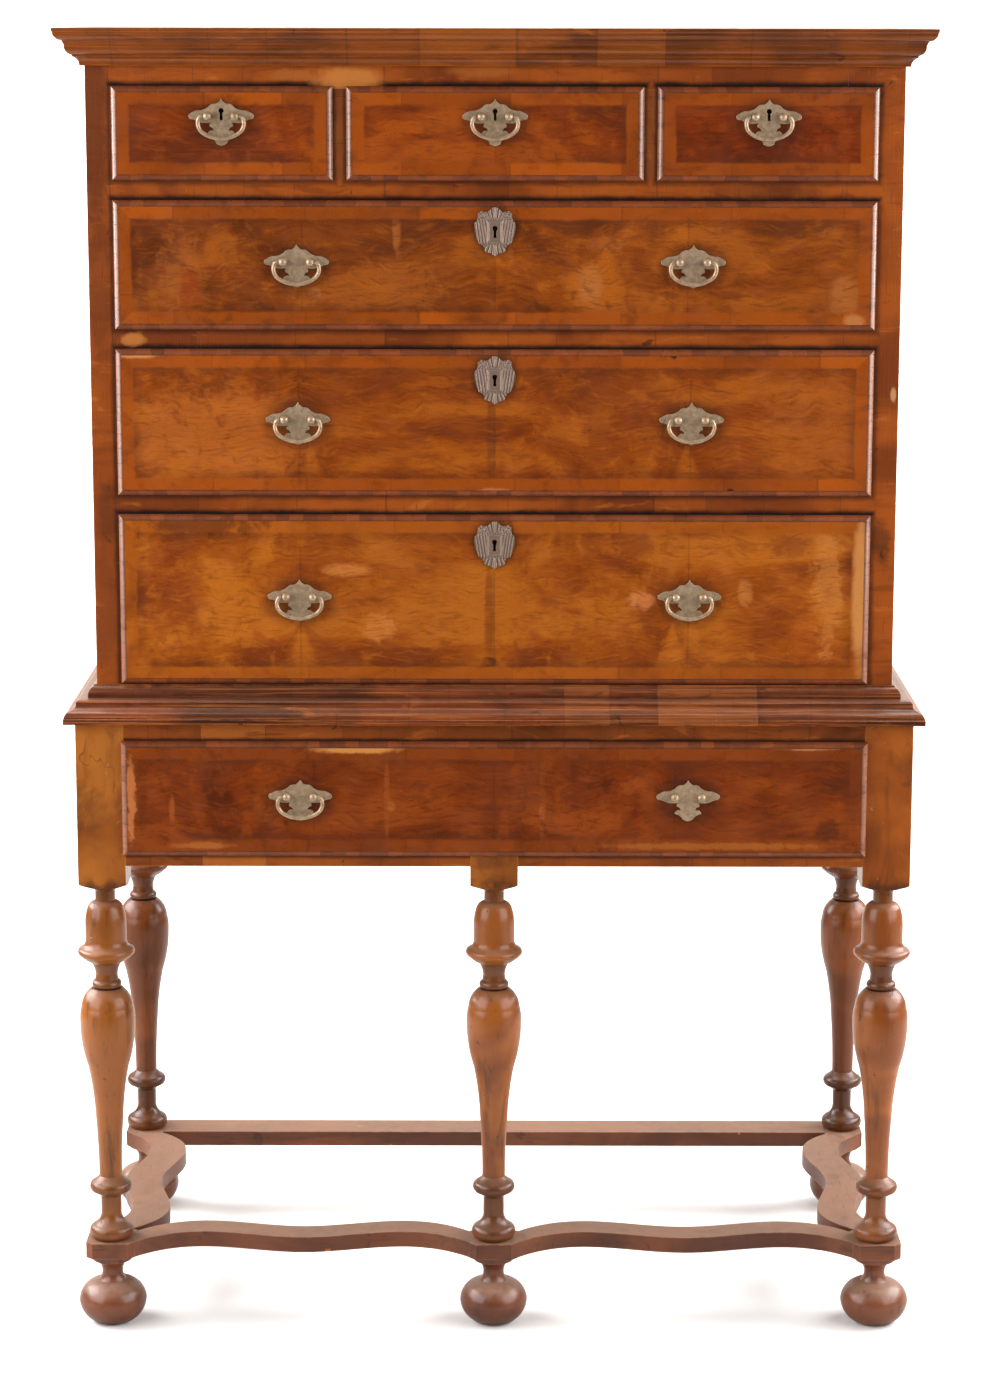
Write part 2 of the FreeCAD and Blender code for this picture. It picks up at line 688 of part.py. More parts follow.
post_back = front_leg_y + S.post_side / 2
back_post_front = back_leg_y - S.post_side / 2
apron_out = stand_half - S.apron_inset
apron_z = (apron_low, stand_frame_top)
aprons = []
for word, side in (("left", -1), ("right", 1)):
    faces = sorted((side * apron_out, side * (apron_out - S.apron_thick)), key=lambda size: size.value)
    aprons.append(board(f"{word}_apron", faces, (post_back, back_post_front), apron_z))
apron_back = stand_back - S.apron_inset
aprons.append(board("back_apron", (-opening_half, opening_half), (apron_back - S.apron_thick, apron_back),
                    apron_z))
node("stand_aprons", *aprons)

low_rails = []
for word, ends in (("left", (-opening_half, -S.post_side / 2)), ("right", (S.post_side / 2, opening_half))):
    low_rails.append(board(f"stand_rail_{word}", ends, (stand_front, stand_front + S.stand_rail_deep),
                           (apron_low, stand_sill)))
top_rail = board("stand_top_rail", (-opening_half, opening_half), (stand_front, stand_front + S.frame_deep),
                 (stand_head, stand_frame_top))
node("stand_front_rails", *low_rails, top_rail)

runners = []
for word, side in (("left", -1), ("right", 1)):
    outside = side * (apron_out - S.apron_thick)
    inside = outside - side * S.runner_wide
    guide_face = side * opening_half
    span = (post_back, back_post_front)
    order = sorted((outside, inside), key=lambda size: size.value)
    runners.append(board(f"runner_{word}", order, span, (stand_sill - S.runner_thick, stand_sill)))
    order = sorted((outside, guide_face), key=lambda size: size.value)
    runners.append(board(f"runner_guide_{word}", order, span, (stand_sill, stand_sill + S.guide_tall)))
node("stand_drawer_runners", *runners)

node("stand_top_board", board("top_of_stand", (-stand_half, stand_half), (stand_front, stand_back),
                              (stand_frame_top, case_foot)))


# ---- case ----------------------------------------------------------------------------------------------

side_inside = case_half - S.board_thick
sides = []
for word, side in (("left", -1), ("right", 1)):
    faces = sorted((side * case_half, side * side_inside), key=lambda size: size.value)
    sides.append(board(f"side_{word}", faces, (frame_back, inside_back), (case_foot, case_cap)))
node("case_sides", *sides)
node("case_top_board", board("top_of_case", (-case_half, case_half), (case_front, inside_back),
                             (case_cap, case_top)))
node("case_bottom_board", board("bottom_of_case", (-side_inside, side_inside), (frame_back, inside_back),
                                (bottom_sill - S.board_thick, bottom_sill)))

back_boards = []
board_count = 4
board_tall = (case_top - case_foot + S.back_gap) / board_count
for number in range(board_count):
    foot = case_foot + board_tall * number
    back_boards.append(board(f"back_board_{number + 1}", (-case_half, case_half), (inside_back, case_back),
                             (foot, foot + board_tall - S.back_gap)))
node("case_back_boards", *back_boards)


def bolt_mortise(name, x, head):
    """The mortise in the underside of a rail that takes a lock's bolt."""
    half = S.bolt_wide / 2 + S.mortise_gap
    middle = case_front + S.front_deep - S.lock_deep / 2
    deep = S.bolt_thick / 2 + S.mortise_gap
    return board(name, (x - half, x + half), (middle - deep, middle + deep),
                 (head - S.past, head + S.mortise_deep))


frame = []
for word, side in (("left", -1), ("right", 1)):
    faces = sorted((side * case_half, side * opening_half), key=lambda size: size.value)
    frame.append(board(f"stile_{word}", faces, (case_front, frame_back), (case_foot, case_cap)))
across = (-opening_half, opening_half)
frame.append(board("base_rail", across, (case_front, frame_back), (case_foot, bottom_sill)))
for word, head, locks in (
        ("lower_rail", bottom_head, [dim(0)]),
        ("middle_rail", third_head, [dim(0)]),
        ("upper_rail", second_head, [dim(0)]),
        ("frieze_rail", small_head, [-side_small_middle, dim(0), side_small_middle])):
    tall = S.frieze_tall if word == "frieze_rail" else S.rail_tall
    blank = board(f"{word}_blank", across, (case_front, frame_back), (head, head + tall))
    mortises = [bolt_mortise(f"{word}_mortise{i}", x, head) for i, x in enumerate(locks)]
    frame.append(cut(word, blank, *mortises))
node("case_front_frame", *frame)

uprights = []
for word, side in (("left", -1), ("right", 1)):
    middle = side * S.partition_place
    uprights.append(board(f"partition_{word}",
                          (middle - S.partition_thick / 2, middle + S.partition_thick / 2),
                          (case_front, inside_back), (small_sill, small_head)))
node("small_drawer_partitions", *uprights)

dust = []
guides = []
for word, sill in (("bottom", bottom_sill), ("third", third_sill), ("second", second_sill),
                   ("small", small_sill)):
    if word != "bottom":
        dust.append(board(f"dust_board_{word}", (-side_inside, side_inside), (frame_back, inside_back),
                          (sill - S.dust_thick, sill)))
    for hand, side in (("left", -1), ("right", 1)):
        faces = sorted((side * side_inside, side * opening_half), key=lambda size: size.value)
        guides.append(board(f"guide_{word}_{hand}", faces, (frame_back, inside_back),
                            (sill, sill + S.guide_tall)))
node("dust_boards", *dust)
node("drawer_guides", *guides)


# ---- mouldings -----------------------------------------------------------------------------------------

def moulding(name, profile, reach, top):
    """Three lengths of a moulding, mitred at the two front corners and square at the back.
    The profile's corners are how far out from the case's face, how far below the top, and the bow."""
    lengths = []
    span = case_half + reach
    front = body_named(f"{name}_front_run")
    section = sketch_on(front, f"{name}_front_profile", "YZ_Plane", -span)
    draw_loop(section, [(case_front - out, top - down, bow) for out, down, bow in profile])
    pad(front, f"{name}_front_pad", section, span * 2)
    mitres = body_named(f"{name}_front_mitres")
    plan = sketch_on(mitres, f"{name}_front_plan", "XY_Plane")
    draw_loop(plan, [(-span, case_front - reach), (span, case_front - reach),
                     (case_half - S.setback, case_front + S.setback),
                     (-case_half + S.setback, case_front + S.setback)])
    pad(mitres, f"{name}_front_block", plan, top + S.past)
    lengths.append(common(f"{name}_front", front, mitres))
    for word, side in (("left", -1), ("right", 1)):
        run = body_named(f"{name}_{word}_run")
        section = sketch_on(run, f"{name}_{word}_profile", "XZ_Plane", -case_back)
        draw_loop(section, [(side * (case_half + out), top - down, bow) for out, down, bow in profile])
        pad(run, f"{name}_{word}_pad", section, case_back - case_front + reach)
        mitre = body_named(f"{name}_{word}_mitre")
        plan = sketch_on(mitre, f"{name}_{word}_plan", "XY_Plane")
        inner = side * (case_half - S.setback)
        outer = side * span
        draw_loop(plan, [(inner, case_front + S.setback), (outer, case_front - reach),
                         (outer, case_back), (inner, case_back)])
        pad(mitre, f"{name}_{word}_block", plan, top + S.past)
        lengths.append(common(f"{name}_{word}", run, mitre))
    return lengths


cornice_profile = [
    (dim(0), S.cornice_tall, 0),
    (S.cornice_out * 0.16, S.cornice_tall, 0),
    (S.cornice_out * 0.16, S.cornice_tall - 1.5, -0.3),
    (S.cornice_out * 0.38, S.cornice_tall - 10, 0),
    (S.cornice_out * 0.38, S.cornice_tall - 12, 0.4),
    (S.cornice_out * 0.62, S.cornice_tall - 23, 0),
    (S.cornice_out * 0.69, S.cornice_tall - 28, 0.38),
    (S.cornice_out * 0.97, dim(5), 0),
    (S.cornice_out, dim(3.5), 0),
    (S.cornice_out, dim(0), 0),
    (dim(0), dim(0), 0),
]
node("cornice_moulding", *moulding("cornice", cornice_profile, S.cornice_out, case_top))

waist_low = S.waist_tall + S.waist_skirt
waist_profile = [
    (S.setback, waist_low, 0),
    (S.waist_nose, waist_low, 0),
    (S.waist_nose, waist_low - 6, 0),
    (S.waist_nose - 0.7, waist_low - 6.5, 0.35),
    (S.waist_nose - 8, waist_low - 15, 0),
    (S.waist_nose - 9, waist_low - 15.5, -0.35),
    (S.waist_nose - 14, waist_low - 22, 0),
    (S.waist_nose - 14, waist_low - 24, 0),
    (S.waist_nose - 16, waist_low - 26, 0),
    (dim(9.5), S.waist_tall - 10, 0.35),
    (dim(3.2), dim(1.8), 0),
    (dim(3.2), dim(0), 0),
    (S.moulding_gap, dim(0), 0),
    (S.moulding_gap, S.waist_tall, 0),
    (S.setback, S.waist_tall, 0),
]
node("waist_moulding", *moulding("waist", waist_profile, S.waist_nose, case_foot + S.waist_tall))


# ---- drawers -------------------------------------------------------------------------------------------

def front_edges(feature, y):
    """The names of the straight edges that lie on the plane at y."""
    names = []
    for index, edge in enumerate(feature.Shape.Edges, start=1):
        if all(abs(point.Y - y) < 1e-4 for point in edge.Vertexes):
            names.append(f"Edge{index}")
    return names


def sketch_at(body, name, y):
    """A sketch that faces the front, on the plane at y."""
    return sketch_on(body, name, "XZ_Plane", -dim(y))


def drawer_front(name, middle, half, sill, head, face, pivots, key):
    """A lipped drawer front: a raised field in a rounded edge, with a plug that enters the opening."""
    body = body_named(f"{name}_front_board")
    lip_back = face - S.lip_gap
    lip_face = face - S.lip_proud + S.field_step
    plug_back = face + S.front_deep
    plug_x = (middle - half + S.front_gap, middle + half - S.front_gap)
    plug_z = (sill + S.front_gap, head - S.front_gap)
    lip_x = (middle - half - S.lip_over, middle + half + S.lip_over)
    lip_z = (sill - S.lip_over, head + S.lip_over)

    lip = sketch_at(body, f"{name}_lip_outline", lip_back)
    draw_loop(lip, rectangle(lip_x, lip_z))
    lip_pad = pad(body, f"{name}_lip", lip, lip_back - lip_face)
    doc.recompute()
    rounding = body.newObject("PartDesign::Fillet", f"{name}_ovolo")
    rounding.Base = (lip_pad, front_edges(lip_pad, lip_face.value))
    tie(rounding, "Radius", S.ovolo_radius)
    body.Tip = rounding

    field = sketch_at(body, f"{name}_field_outline", lip_face)
    inset = S.ovolo_wide
    draw_loop(field, rectangle((lip_x[0] + inset, lip_x[1] - inset), (lip_z[0] + inset, lip_z[1] - inset)))
    pad(body, f"{name}_field", field, S.field_step)
    plug = sketch_at(body, f"{name}_plug_outline", lip_back)
    draw_loop(plug, rectangle(plug_x, plug_z))
    pad(body, f"{name}_plug", plug, plug_back - lip_back, reverse=True)

    holes = sketch_at(body, f"{name}_post_holes", face - S.lip_proud)
    for x, z in pivots:
        for side in (-1, 1):
            draw_circle(holes, x + S.pivot_place * side, z, S.post_shank)
    pocket(body, f"{name}_post_bores", holes, S.shank_sunk)
    if key is not None:
        bed = sketch_at(body, f"{name}_lock_bed_outline", plug_back)
        wide = S.lock_wide / 2
        draw_loop(bed, rectangle((middle - wide, middle + wide), (plug_z[1] - S.lock_tall, plug_z[1] + S.past)))
        pocket(body, f"{name}_lock_bed", bed, S.lock_deep, reverse=True)
        hole = sketch_at(body, f"{name}_keyhole_outline", face - S.lip_proud)
        keyhole(hole, middle, key)
        pocket(body, f"{name}_keyhole", hole)
    return body


def drawer_box(name, middle, half, sill, head, front_back, box_back):
    """The oak lining of a drawer: two sides and a back on a bottom, with two running strips under it."""
    left = middle - half + S.box_side_gap
    right = middle + half - S.box_side_gap
    strip_low = sill + S.run_gap
    bottom_low = strip_low + S.strip_thick
    floor = bottom_low + S.bottom_thick
    rim = head - S.box_drop
    length = (front_back, box_back)
    return [
        board(f"{name}_side_left", (left, left + S.lining_thick), length, (floor, rim)),
        board(f"{name}_side_right", (right - S.lining_thick, right), length, (floor, rim)),
        board(f"{name}_back", (left + S.lining_thick, right - S.lining_thick),
              (box_back - S.lining_thick, box_back), (floor, rim)),
        board(f"{name}_bottom", (left, right), length, (bottom_low, floor)),
        board(f"{name}_strip_left", (left, left + S.strip_wide), length, (strip_low, bottom_low)),
        board(f"{name}_strip_right", (right - S.strip_wide, right), length, (strip_low, bottom_low)),
    ]


def back_plate(name, x, z, face, tail, key):
    """A batwing back plate: a peaked top, two wings and a lobed tail, pierced for its posts and the key."""
    half = [
        (dim(0), -tail, 0.12),
        (dim(6), -tail + 2.3, -0.25),
        (dim(15.5), dim(-20.5), 0.55),
        (dim(8.5), dim(-16.4), -0.4),
        (dim(12.6), dim(-12), 0.6),
        (dim(10.4), dim(-7.2), 0),
        (dim(19.3), dim(-7.8), 0.1),
        (dim(28), dim(-5.3), -0.1),
        (dim(34.4), dim(-3.4), 0.5),
        (dim(36.6), dim(1.7), 0.1),
        (dim(27.5), dim(6.4), -0.2),
        (dim(14.2), dim(10.6), 0.3),
        (dim(6.6), dim(13.7), -0.25),
        (dim(0), dim(20), 0),
    ]
    body = body_named(name)
    outline = sketch_at(body, f"{name}_outline", face)
    draw_loop(outline, mirrored(half, x, z))
    for side in (-1, 1):
        draw_circle(outline, x + S.pivot_place * side, z, S.post_shank)
    if key is not None:
        keyhole(outline, x, key)
    pad(body, f"{name}_sheet", outline, S.plate_thick)
    return body


def turned_along(name, kind, radius, length, x, y, z, axis, angle):
    """A cylinder that lies along X or Y."""
    rod = doc.addObject(kind, name)
    rod.Placement = FreeCAD.Placement(FreeCAD.Vector(), FreeCAD.Rotation(axis, angle))
    tie(rod, "Radius", radius)
    tie(rod, "Height", length)
    place(rod, x, y, z)
    return rod


def handle_post(name, x, pivot_y, z, face):
    """A cast post: a ball bored for the bail's end, on a shank driven into the drawer front."""
    ball = doc.addObject("Part::Sphere", f"{name}_ball")
    tie(ball, "Radius", S.post_ball)
    place(ball, x, pivot_y, z)
    shank = turned_along(f"{name}_shank", "Part::Cylinder", S.post_shank, face + S.shank_sunk - pivot_y,
                         x, pivot_y, z, FreeCAD.Vector(1, 0, 0), -90)
    whole = doc.addObject("Part::Fuse", f"{name}_blank")
    whole.Base = ball
    whole.Tool = shank
    bore = turned_along(f"{name}_bore", "Part::Cylinder", S.pin_radius + S.pin_gap, S.post_ball * 2 + S.past * 2,
                        x - S.post_ball - S.past, pivot_y, z, FreeCAD.Vector(0, 1, 0), 90)
    return cut(name, whole, bore)


def bail(name, x, pivot_y, z):
    """A drop handle: a bow of round bar whose two thinner ends turn inwards into the posts."""
    body = body_named(name)
    start = S.pivot_place + S.post_ball + S.bail_clear
    half = start + S.bail_swell
    # each side has four arcs: a tight bend, a slow curve to the widest place, a side and half the bottom
    bend, side = math.radians(60), math.radians(55)
    bend_x = start + S.bail_bend * math.sin(bend)
    bend_z = S.bail_bend * (math.cos(bend) - 1)
    slow = (S.bail_swell - S.bail_bend * math.sin(bend)) / (1 - math.sin(bend))
    widest = bend_z - slow * math.cos(bend)
    down = S.bail_drop + widest
    over, under = 1 - math.cos(side), 1 - math.sin(side)
    side_radius = (down * math.cos(side) - half * under) / (math.sin(side) * math.cos(side) - over * under)
    side_x = half - side_radius * over
    side_z = widest - side_radius * math.sin(side)
    bows = [math.tan(angle / 4) for angle in (bend, math.pi / 2 - bend, side, math.pi - side * 2)]
    path = sketch_on(body, f"{name}_path", "XZ_Plane")
    draw_edges(path, [
        (start, 0, bows[0]),
        (bend_x, bend_z, bows[1]),
        (half, widest, bows[2]),
        (side_x, side_z, bows[3]),
        (-side_x, side_z, bows[2]),
        (-half, widest, bows[1]),
        (-bend_x, bend_z, bows[0]),
        (-start, 0, 0),
    ], False, -1)
    section = sketch_on(body, f"{name}_section", "YZ_Plane", start)
    draw_circle(section, 0, 0, S.bail_radius)
    doc.recompute()
    bow = body.newObject("PartDesign::AdditivePipe", f"{name}_bow")
    bow.Profile = section
    bow.Spine = (path, [f"Edge{number}" for number in range(1, 8)])
    body.Tip = bow
    inner = S.pivot_place - S.post_ball + S.pin_short
    for word, low in (("right", inner), ("left", -start)):
        end = sketch_on(body, f"{name}_{word}_section", "YZ_Plane", low)
        draw_circle(end, 0, 0, S.pin_radius)
        pad(body, f"{name}_{word}_pin", end, start - inner)
    place(body, x, pivot_y, z)
    return body


def escutcheon(name, x, key, face):
    """A cast escutcheon: a shield around the keyhole, scrolled at its top and drawn to a point below."""
    wide = S.escutcheon_half
    tall = S.escutcheon_tall / 2
    half = [
        (dim(0), -tall, -0.1),
        (wide * 0.3, -tall * 0.86, 0.5),
        (wide * 0.52, -tall * 0.68, -0.1),
        (wide * 0.6, -tall * 0.54, 0.45),
        (wide * 0.82, -tall * 0.36, 0.1),
        (wide, tall * 0.1, 0.25),
        (wide * 0.87, tall * 0.47, -0.2),
        (wide * 0.84, tall * 0.66, 0.6),
        (wide * 0.5, tall * 0.82, -0.2),
        (wide * 0.26, tall * 0.88, 0.35),
        (dim(0), tall, 0),
    ]
    body = body_named(name)
    outline = sketch_at(body, f"{name}_outline", face)
    draw_loop(outline, mirrored(half, x, key - (S.key_drop - S.key_eye) / 2))
    keyhole(outline, x, key)
    pad(body, f"{name}_casting", outline, S.escutcheon_thick)
    return body


def lock_pieces(name, middle, lock_top, key, plug_back):
    """A lock let into the back of a drawer front, and its bolt, drawn back below the lock's top."""
    room_x = S.bolt_wide / 2 + S.bolt_gap
    room_y = S.bolt_thick / 2 + S.bolt_gap
    centre_y = plug_back - S.lock_deep / 2
    front_y = plug_back - S.lock_deep
    blank = board(f"{name}_lock_blank", (middle - S.lock_wide / 2, middle + S.lock_wide / 2),
                  (front_y, plug_back), (lock_top - S.lock_tall, lock_top))
    room = board(f"{name}_bolt_room", (middle - room_x, middle + room_x), (centre_y - room_y, centre_y + room_y),
                 (lock_top - S.lock_tall + S.bolt_thick, lock_top + S.past))
    key_room = board(f"{name}_key_room", (middle - S.key_eye, middle + S.key_eye), (front_y - S.past, centre_y),
                     (key - S.key_drop, key + S.key_eye))
    lock = cut(f"{name}_lock", blank, room, key_room)
    bolt_top = lock_top - S.bolt_sunk
    bolt = board(f"{name}_bolt", (middle - S.bolt_wide / 2, middle + S.bolt_wide / 2),
                 (centre_y - S.bolt_thick / 2, centre_y + S.bolt_thick / 2), (bolt_top - S.bolt_tall, bolt_top))
    return lock, bolt


for name, middle, half, sill, head, kind in DRAWERS:
    face = stand_front if kind == "stand" else case_front
    room_back = stand_back - S.apron_inset - S.apron_thick if kind == "stand" else inside_back
    field_face = face - S.lip_proud
    pivot_y = field_face - S.plate_thick - S.pivot_out
    plug_back = face + S.front_deep
    centre = (sill + head) / 2
    if kind == "small":
        handles = [("", middle)]
        pivot_z = centre + S.small_handle_rise
        key = pivot_z + S.small_key_rise
    else:
        handles = [("_left", middle - S.handle_place), ("_right", middle + S.handle_place)]
        pivot_z = centre + S.handle_rise
        key = head - S.long_key_drop if kind == "long" else None

    pivots = [(x, pivot_z) for _, x in handles]
    node(f"{name}_front", drawer_front(name, middle, half, sill, head, face, pivots, key))
    node(f"{name}_box", *drawer_box(name, middle, half, sill, head, plug_back, room_back - S.box_back_room))
    fittings = []
    for hand, x in handles:
        tail = S.small_plate_tail if kind == "small" else S.plate_tail
        plate_key = key if kind == "small" else None
        fittings.append(back_plate(f"{name}{hand}_plate", x, pivot_z, field_face, tail, plate_key))
        for word, side in (("a", -1), ("b", 1)):
            fittings.append(handle_post(f"{name}{hand}_post_{word}", x + S.pivot_place * side, pivot_y, pivot_z,
                                        field_face))
        # the right-hand bail of the stand's drawer is lost
        if not (kind == "stand" and hand == "_right"):
            node(f"{name}{hand}_bail", bail(f"{name}{hand}_bail_bar", x, pivot_y, pivot_z))
    if kind == "long":
        fittings.append(escutcheon(f"{name}_escutcheon", middle, key, field_face))
    if key is not None:
        lock, bolt = lock_pieces(name, middle, head - S.front_gap, key, plug_back)
        fittings.append(lock)
        node(f"{name}_lock_bolt", bolt)
    node(f"{name}_fittings", *fittings)


# ---- check and write -----------------------------------------------------------------------------------

doc.recompute()
for item in doc.Objects:
    if "Invalid" in item.State or "Error" in item.State:
        raise RuntimeError(f"{item.Label} failed: {item.State}")
for part in NODES:
    if part.Shape.isNull() or not part.Shape.isValid() or not part.Shape.Solids:
        raise RuntimeError(f"{part.Label} has no valid solid")

os.makedirs("parts", exist_ok=True)
for part in NODES:
    part.Shape.exportStep(f"parts/{part.Label}.step")
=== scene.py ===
import math

import bpy
from mathutils import Matrix, Vector


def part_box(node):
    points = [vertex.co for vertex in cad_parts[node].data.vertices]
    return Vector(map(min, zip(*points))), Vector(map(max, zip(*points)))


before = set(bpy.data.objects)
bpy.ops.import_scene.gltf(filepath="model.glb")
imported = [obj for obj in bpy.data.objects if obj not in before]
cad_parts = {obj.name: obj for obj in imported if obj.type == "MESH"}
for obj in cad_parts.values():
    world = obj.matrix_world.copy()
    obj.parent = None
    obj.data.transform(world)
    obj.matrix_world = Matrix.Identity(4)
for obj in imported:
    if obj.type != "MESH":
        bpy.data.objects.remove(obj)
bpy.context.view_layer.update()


# ---- Bun feet --------------------------------------------------------------------------------------------
# Five squat balls of walnut, turned on the lathe and bored for the pegs of the legs. The wax has gone
# from their tops, where dust lies, and their soles are scuffed.

FLOAT, VECTOR = "NodeSocketFloat", "NodeSocketVector"


def tint(red, green, blue):
    """A colour as seen on a screen, 0 to 255, as the linear colour that a shader takes."""
    linear = []
    for level in (red / 255, green / 255, blue / 255):
        linear.append(level / 12.92 if level <= 0.04045 else ((level + 0.055) / 1.055) ** 2.4)
    return (*linear, 1.0)


class Bench:
    """Lays out the nodes of one finish or one effect and wires them up."""

    def __init__(self, tree):
        self.tree = tree

    def wire(self, value, socket):
        if isinstance(value, bpy.types.NodeSocket):
            self.tree.links.new(value, socket)
        else:
            socket.default_value = value

    def node(self, kind, wires=None, **settings):
        item = self.tree.nodes.new(kind)
        for name, value in settings.items():
            setattr(item, name, value)
        for socket, value in (wires or {}).items():
            self.wire(value, item.inputs[socket])
        return item

    def math(self, operation, one, other=0.0, clamp=False):
        wires = {0: one, 1: other}
        return self.node("ShaderNodeMath", wires, operation=operation, use_clamp=clamp).outputs[0]

    def times(self, one, other):
        return self.math("MULTIPLY", one, other)

    def plus(self, one, other):
        return self.math("ADD", one, other)

    def minus(self, one, other):
        return self.math("SUBTRACT", one, other)

    def vector(self, operation, one, other):
        return self.node("ShaderNodeVectorMath", {0: one, 1: other}, operation=operation).outputs[0]

    def stretch(self, place, scale):
        return self.vector("MULTIPLY", place, scale)

    def ease(self, value, start, end, low=0.0, high=1.0):
        """Goes smoothly from low at start to high at end."""
        wires = {"Value": value, "From Min": start, "From Max": end, "To Min": low, "To Max": high}
        return self.node("ShaderNodeMapRange", wires, interpolation_type="SMOOTHSTEP").outputs["Result"]

    def noise(self, place, scale, detail=2.0, roughness=0.5, distortion=0.0):
        wires = {"Vector": place, "Scale": scale, "Detail": detail, "Roughness": roughness,
                 "Distortion": distortion}
        return self.node("ShaderNodeTexNoise", wires).outputs[0]

    def blend(self, amount, one, other):
        return self.node("ShaderNodeMix", {0: amount, 6: one, 7: other}, data_type="RGBA").outputs[2]

    def stain(self, colour, mask, strength, shade):
        """Lays a shade over a colour through a mask, as strongly as it says."""
        return self.blend(self.times(mask, strength), colour, shade)

    def wash(self, colour, value, start, end, strength, shade):
        """Lays a shade over a colour the more, up to strength, the further value goes from start to end."""
        return self.blend(self.ease(value, start, end, 0.0, strength), colour, shade)

    def split(self, vector):
        return self.node("ShaderNodeSeparateXYZ", {0: vector}).outputs

    def join(self, x=0.0, y=0.0, z=0.0):
        return self.node("ShaderNodeCombineXYZ", {0: x, 1: y, 2: z}).outputs[0]

    def effect(self, name, **values):
        """Places a shared effect with its own values."""
        group = self.node("ShaderNodeGroup", node_tree=bpy.data.node_groups[name])
        for socket, value in values.items():
            self.wire(value, group.inputs[socket])
        return group.outputs


def new_effect(name, inputs, outputs):
    """Starts a shared effect: its bench, its inputs, and the node that takes its results."""
    tree = bpy.data.node_groups.new(name, "ShaderNodeTree")
    for label, kind in inputs.items():
        tree.interface.new_socket(name=label, in_out="INPUT", socket_type=kind)
    for label, kind in outputs.items():
        tree.interface.new_socket(name=label, in_out="OUTPUT", socket_type=kind)
    bench = Bench(tree)
    return bench, bench.node("NodeGroupInput").outputs, bench.node("NodeGroupOutput")


def new_finish(name):
    """Starts a material: the material, its bench, the place on the piece in metres, and its shader."""
    material = bpy.data.materials.new(name)
    material.use_nodes = True
    bench = Bench(material.node_tree)
    place = bench.node("ShaderNodeTexCoord").outputs["Object"]
    return material, bench, place, material.node_tree.nodes["Principled BSDF"]


def reopen(material):
    """Takes up a finished material again: its bench, the place on the piece, its shader and its colour."""
    bench = Bench(material.node_tree)
    shader = material.node_tree.nodes["Principled BSDF"]
    place = bench.node("ShaderNodeTexCoord").outputs["Object"]
    return bench, place, shader, shader.inputs["Base Color"].links[0].from_socket


def lay_on(material, *nodes):
    """Gives CAD nodes a finish."""
    for name in nodes:
        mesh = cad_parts[name].data
        mesh.materials.clear()
        mesh.materials.append(material)


# grain: long fibres, short dark pores and slow clouds of tone, drawn out along the plank
bench, given, result = new_effect(
    "Grain", {"Place": VECTOR, "Stretch": VECTOR, "Seed": FLOAT},
    {"Fibre": FLOAT, "Pores": FLOAT, "Cloud": FLOAT})
plank = bench.vector("ADD", bench.stretch(given["Place"], given["Stretch"]), given["Seed"])
bench.wire(bench.noise(plank, 1.0, 5.0, 0.62, 0.5), result.inputs["Fibre"])
pore = bench.noise(bench.stretch(plank, (5.0, 5.0, 5.0)), 1.0, 2.0, 0.6)
bench.wire(bench.ease(pore, 0.6, 0.75), result.inputs["Pores"])
cloud_place = bench.vector("ADD", bench.stretch(given["Place"], (6.0, 6.0, 6.0)), given["Seed"])
bench.wire(bench.ease(bench.noise(cloud_place, 1.0, 3.0, 0.55, 0.8), 0.3, 0.7), result.inputs["Cloud"])

# age: darkening in hollows, found by ambient occlusion, which is painted shade together with grime, and dust
# that settles on what faces up
bench, given, result = new_effect(
    "Age", {"Place": VECTOR, "Reach": FLOAT, "Dust": FLOAT}, {"Grime and shade": FLOAT, "Dust": FLOAT})
hollow = bench.node("ShaderNodeAmbientOcclusion", {"Distance": given["Reach"]}, samples=6, only_local=True)
smear = bench.noise(given["Place"], 90.0, 4.0, 0.65)
grime_and_shade = bench.minus(1.0, hollow.outputs["AO"])
grime_and_shade = bench.times(grime_and_shade, bench.plus(0.6, smear))
bench.wire(bench.ease(grime_and_shade, 0.18, 0.85), result.inputs["Grime and shade"])
facing = bench.split(bench.node("ShaderNodeNewGeometry").outputs["Normal"])["Z"]
settled = bench.times(bench.ease(facing, 0.25, 0.95), bench.ease(smear, 0.25, 0.6, 0.45, 1.0))
bench.wire(bench.math("MULTIPLY", settled, given["Dust"], clamp=True), result.inputs["Dust"])

# rubbed edges: where an edge stands proud, the colour has gone
bench, given, result = new_effect("Rubbed edges", {"Place": VECTOR, "Width": FLOAT}, {"Rubbed": FLOAT})
softened = bench.node("ShaderNodeBevel", {"Radius": given["Width"]}, samples=6).outputs[0]
plain = bench.node("ShaderNodeNewGeometry").outputs["Normal"]
turned_away = bench.node("ShaderNodeVectorMath", {0: softened, 1: plain}, operation="DOT_PRODUCT")
edge = bench.ease(turned_away.outputs["Value"], 0.985, 0.86)
patchy = bench.ease(bench.noise(given["Place"], 45.0, 4.0, 0.7), 0.38, 0.62)
bench.wire(bench.times(edge, patchy), result.inputs["Rubbed"])


def waxed(bench, shader, colour, roughness, height, depth, coat=0.25):
    """Wires a waxed wood surface: its colour, its gloss, and the relief of its grain in metres."""
    bench.wire(colour, shader.inputs["Base Color"])
    bench.wire(roughness, shader.inputs["Roughness"])
    relief = bench.node("ShaderNodeBump", {"Height": height, "Distance": depth, "Strength": 1.0})
    bench.wire(relief.outputs["Normal"], shader.inputs["Normal"])
    bench.wire(coat, shader.inputs["Coat Weight"])
    shader.inputs["Coat Roughness"].default_value = 0.16
    shader.inputs["Specular IOR Level"].default_value = 0.4


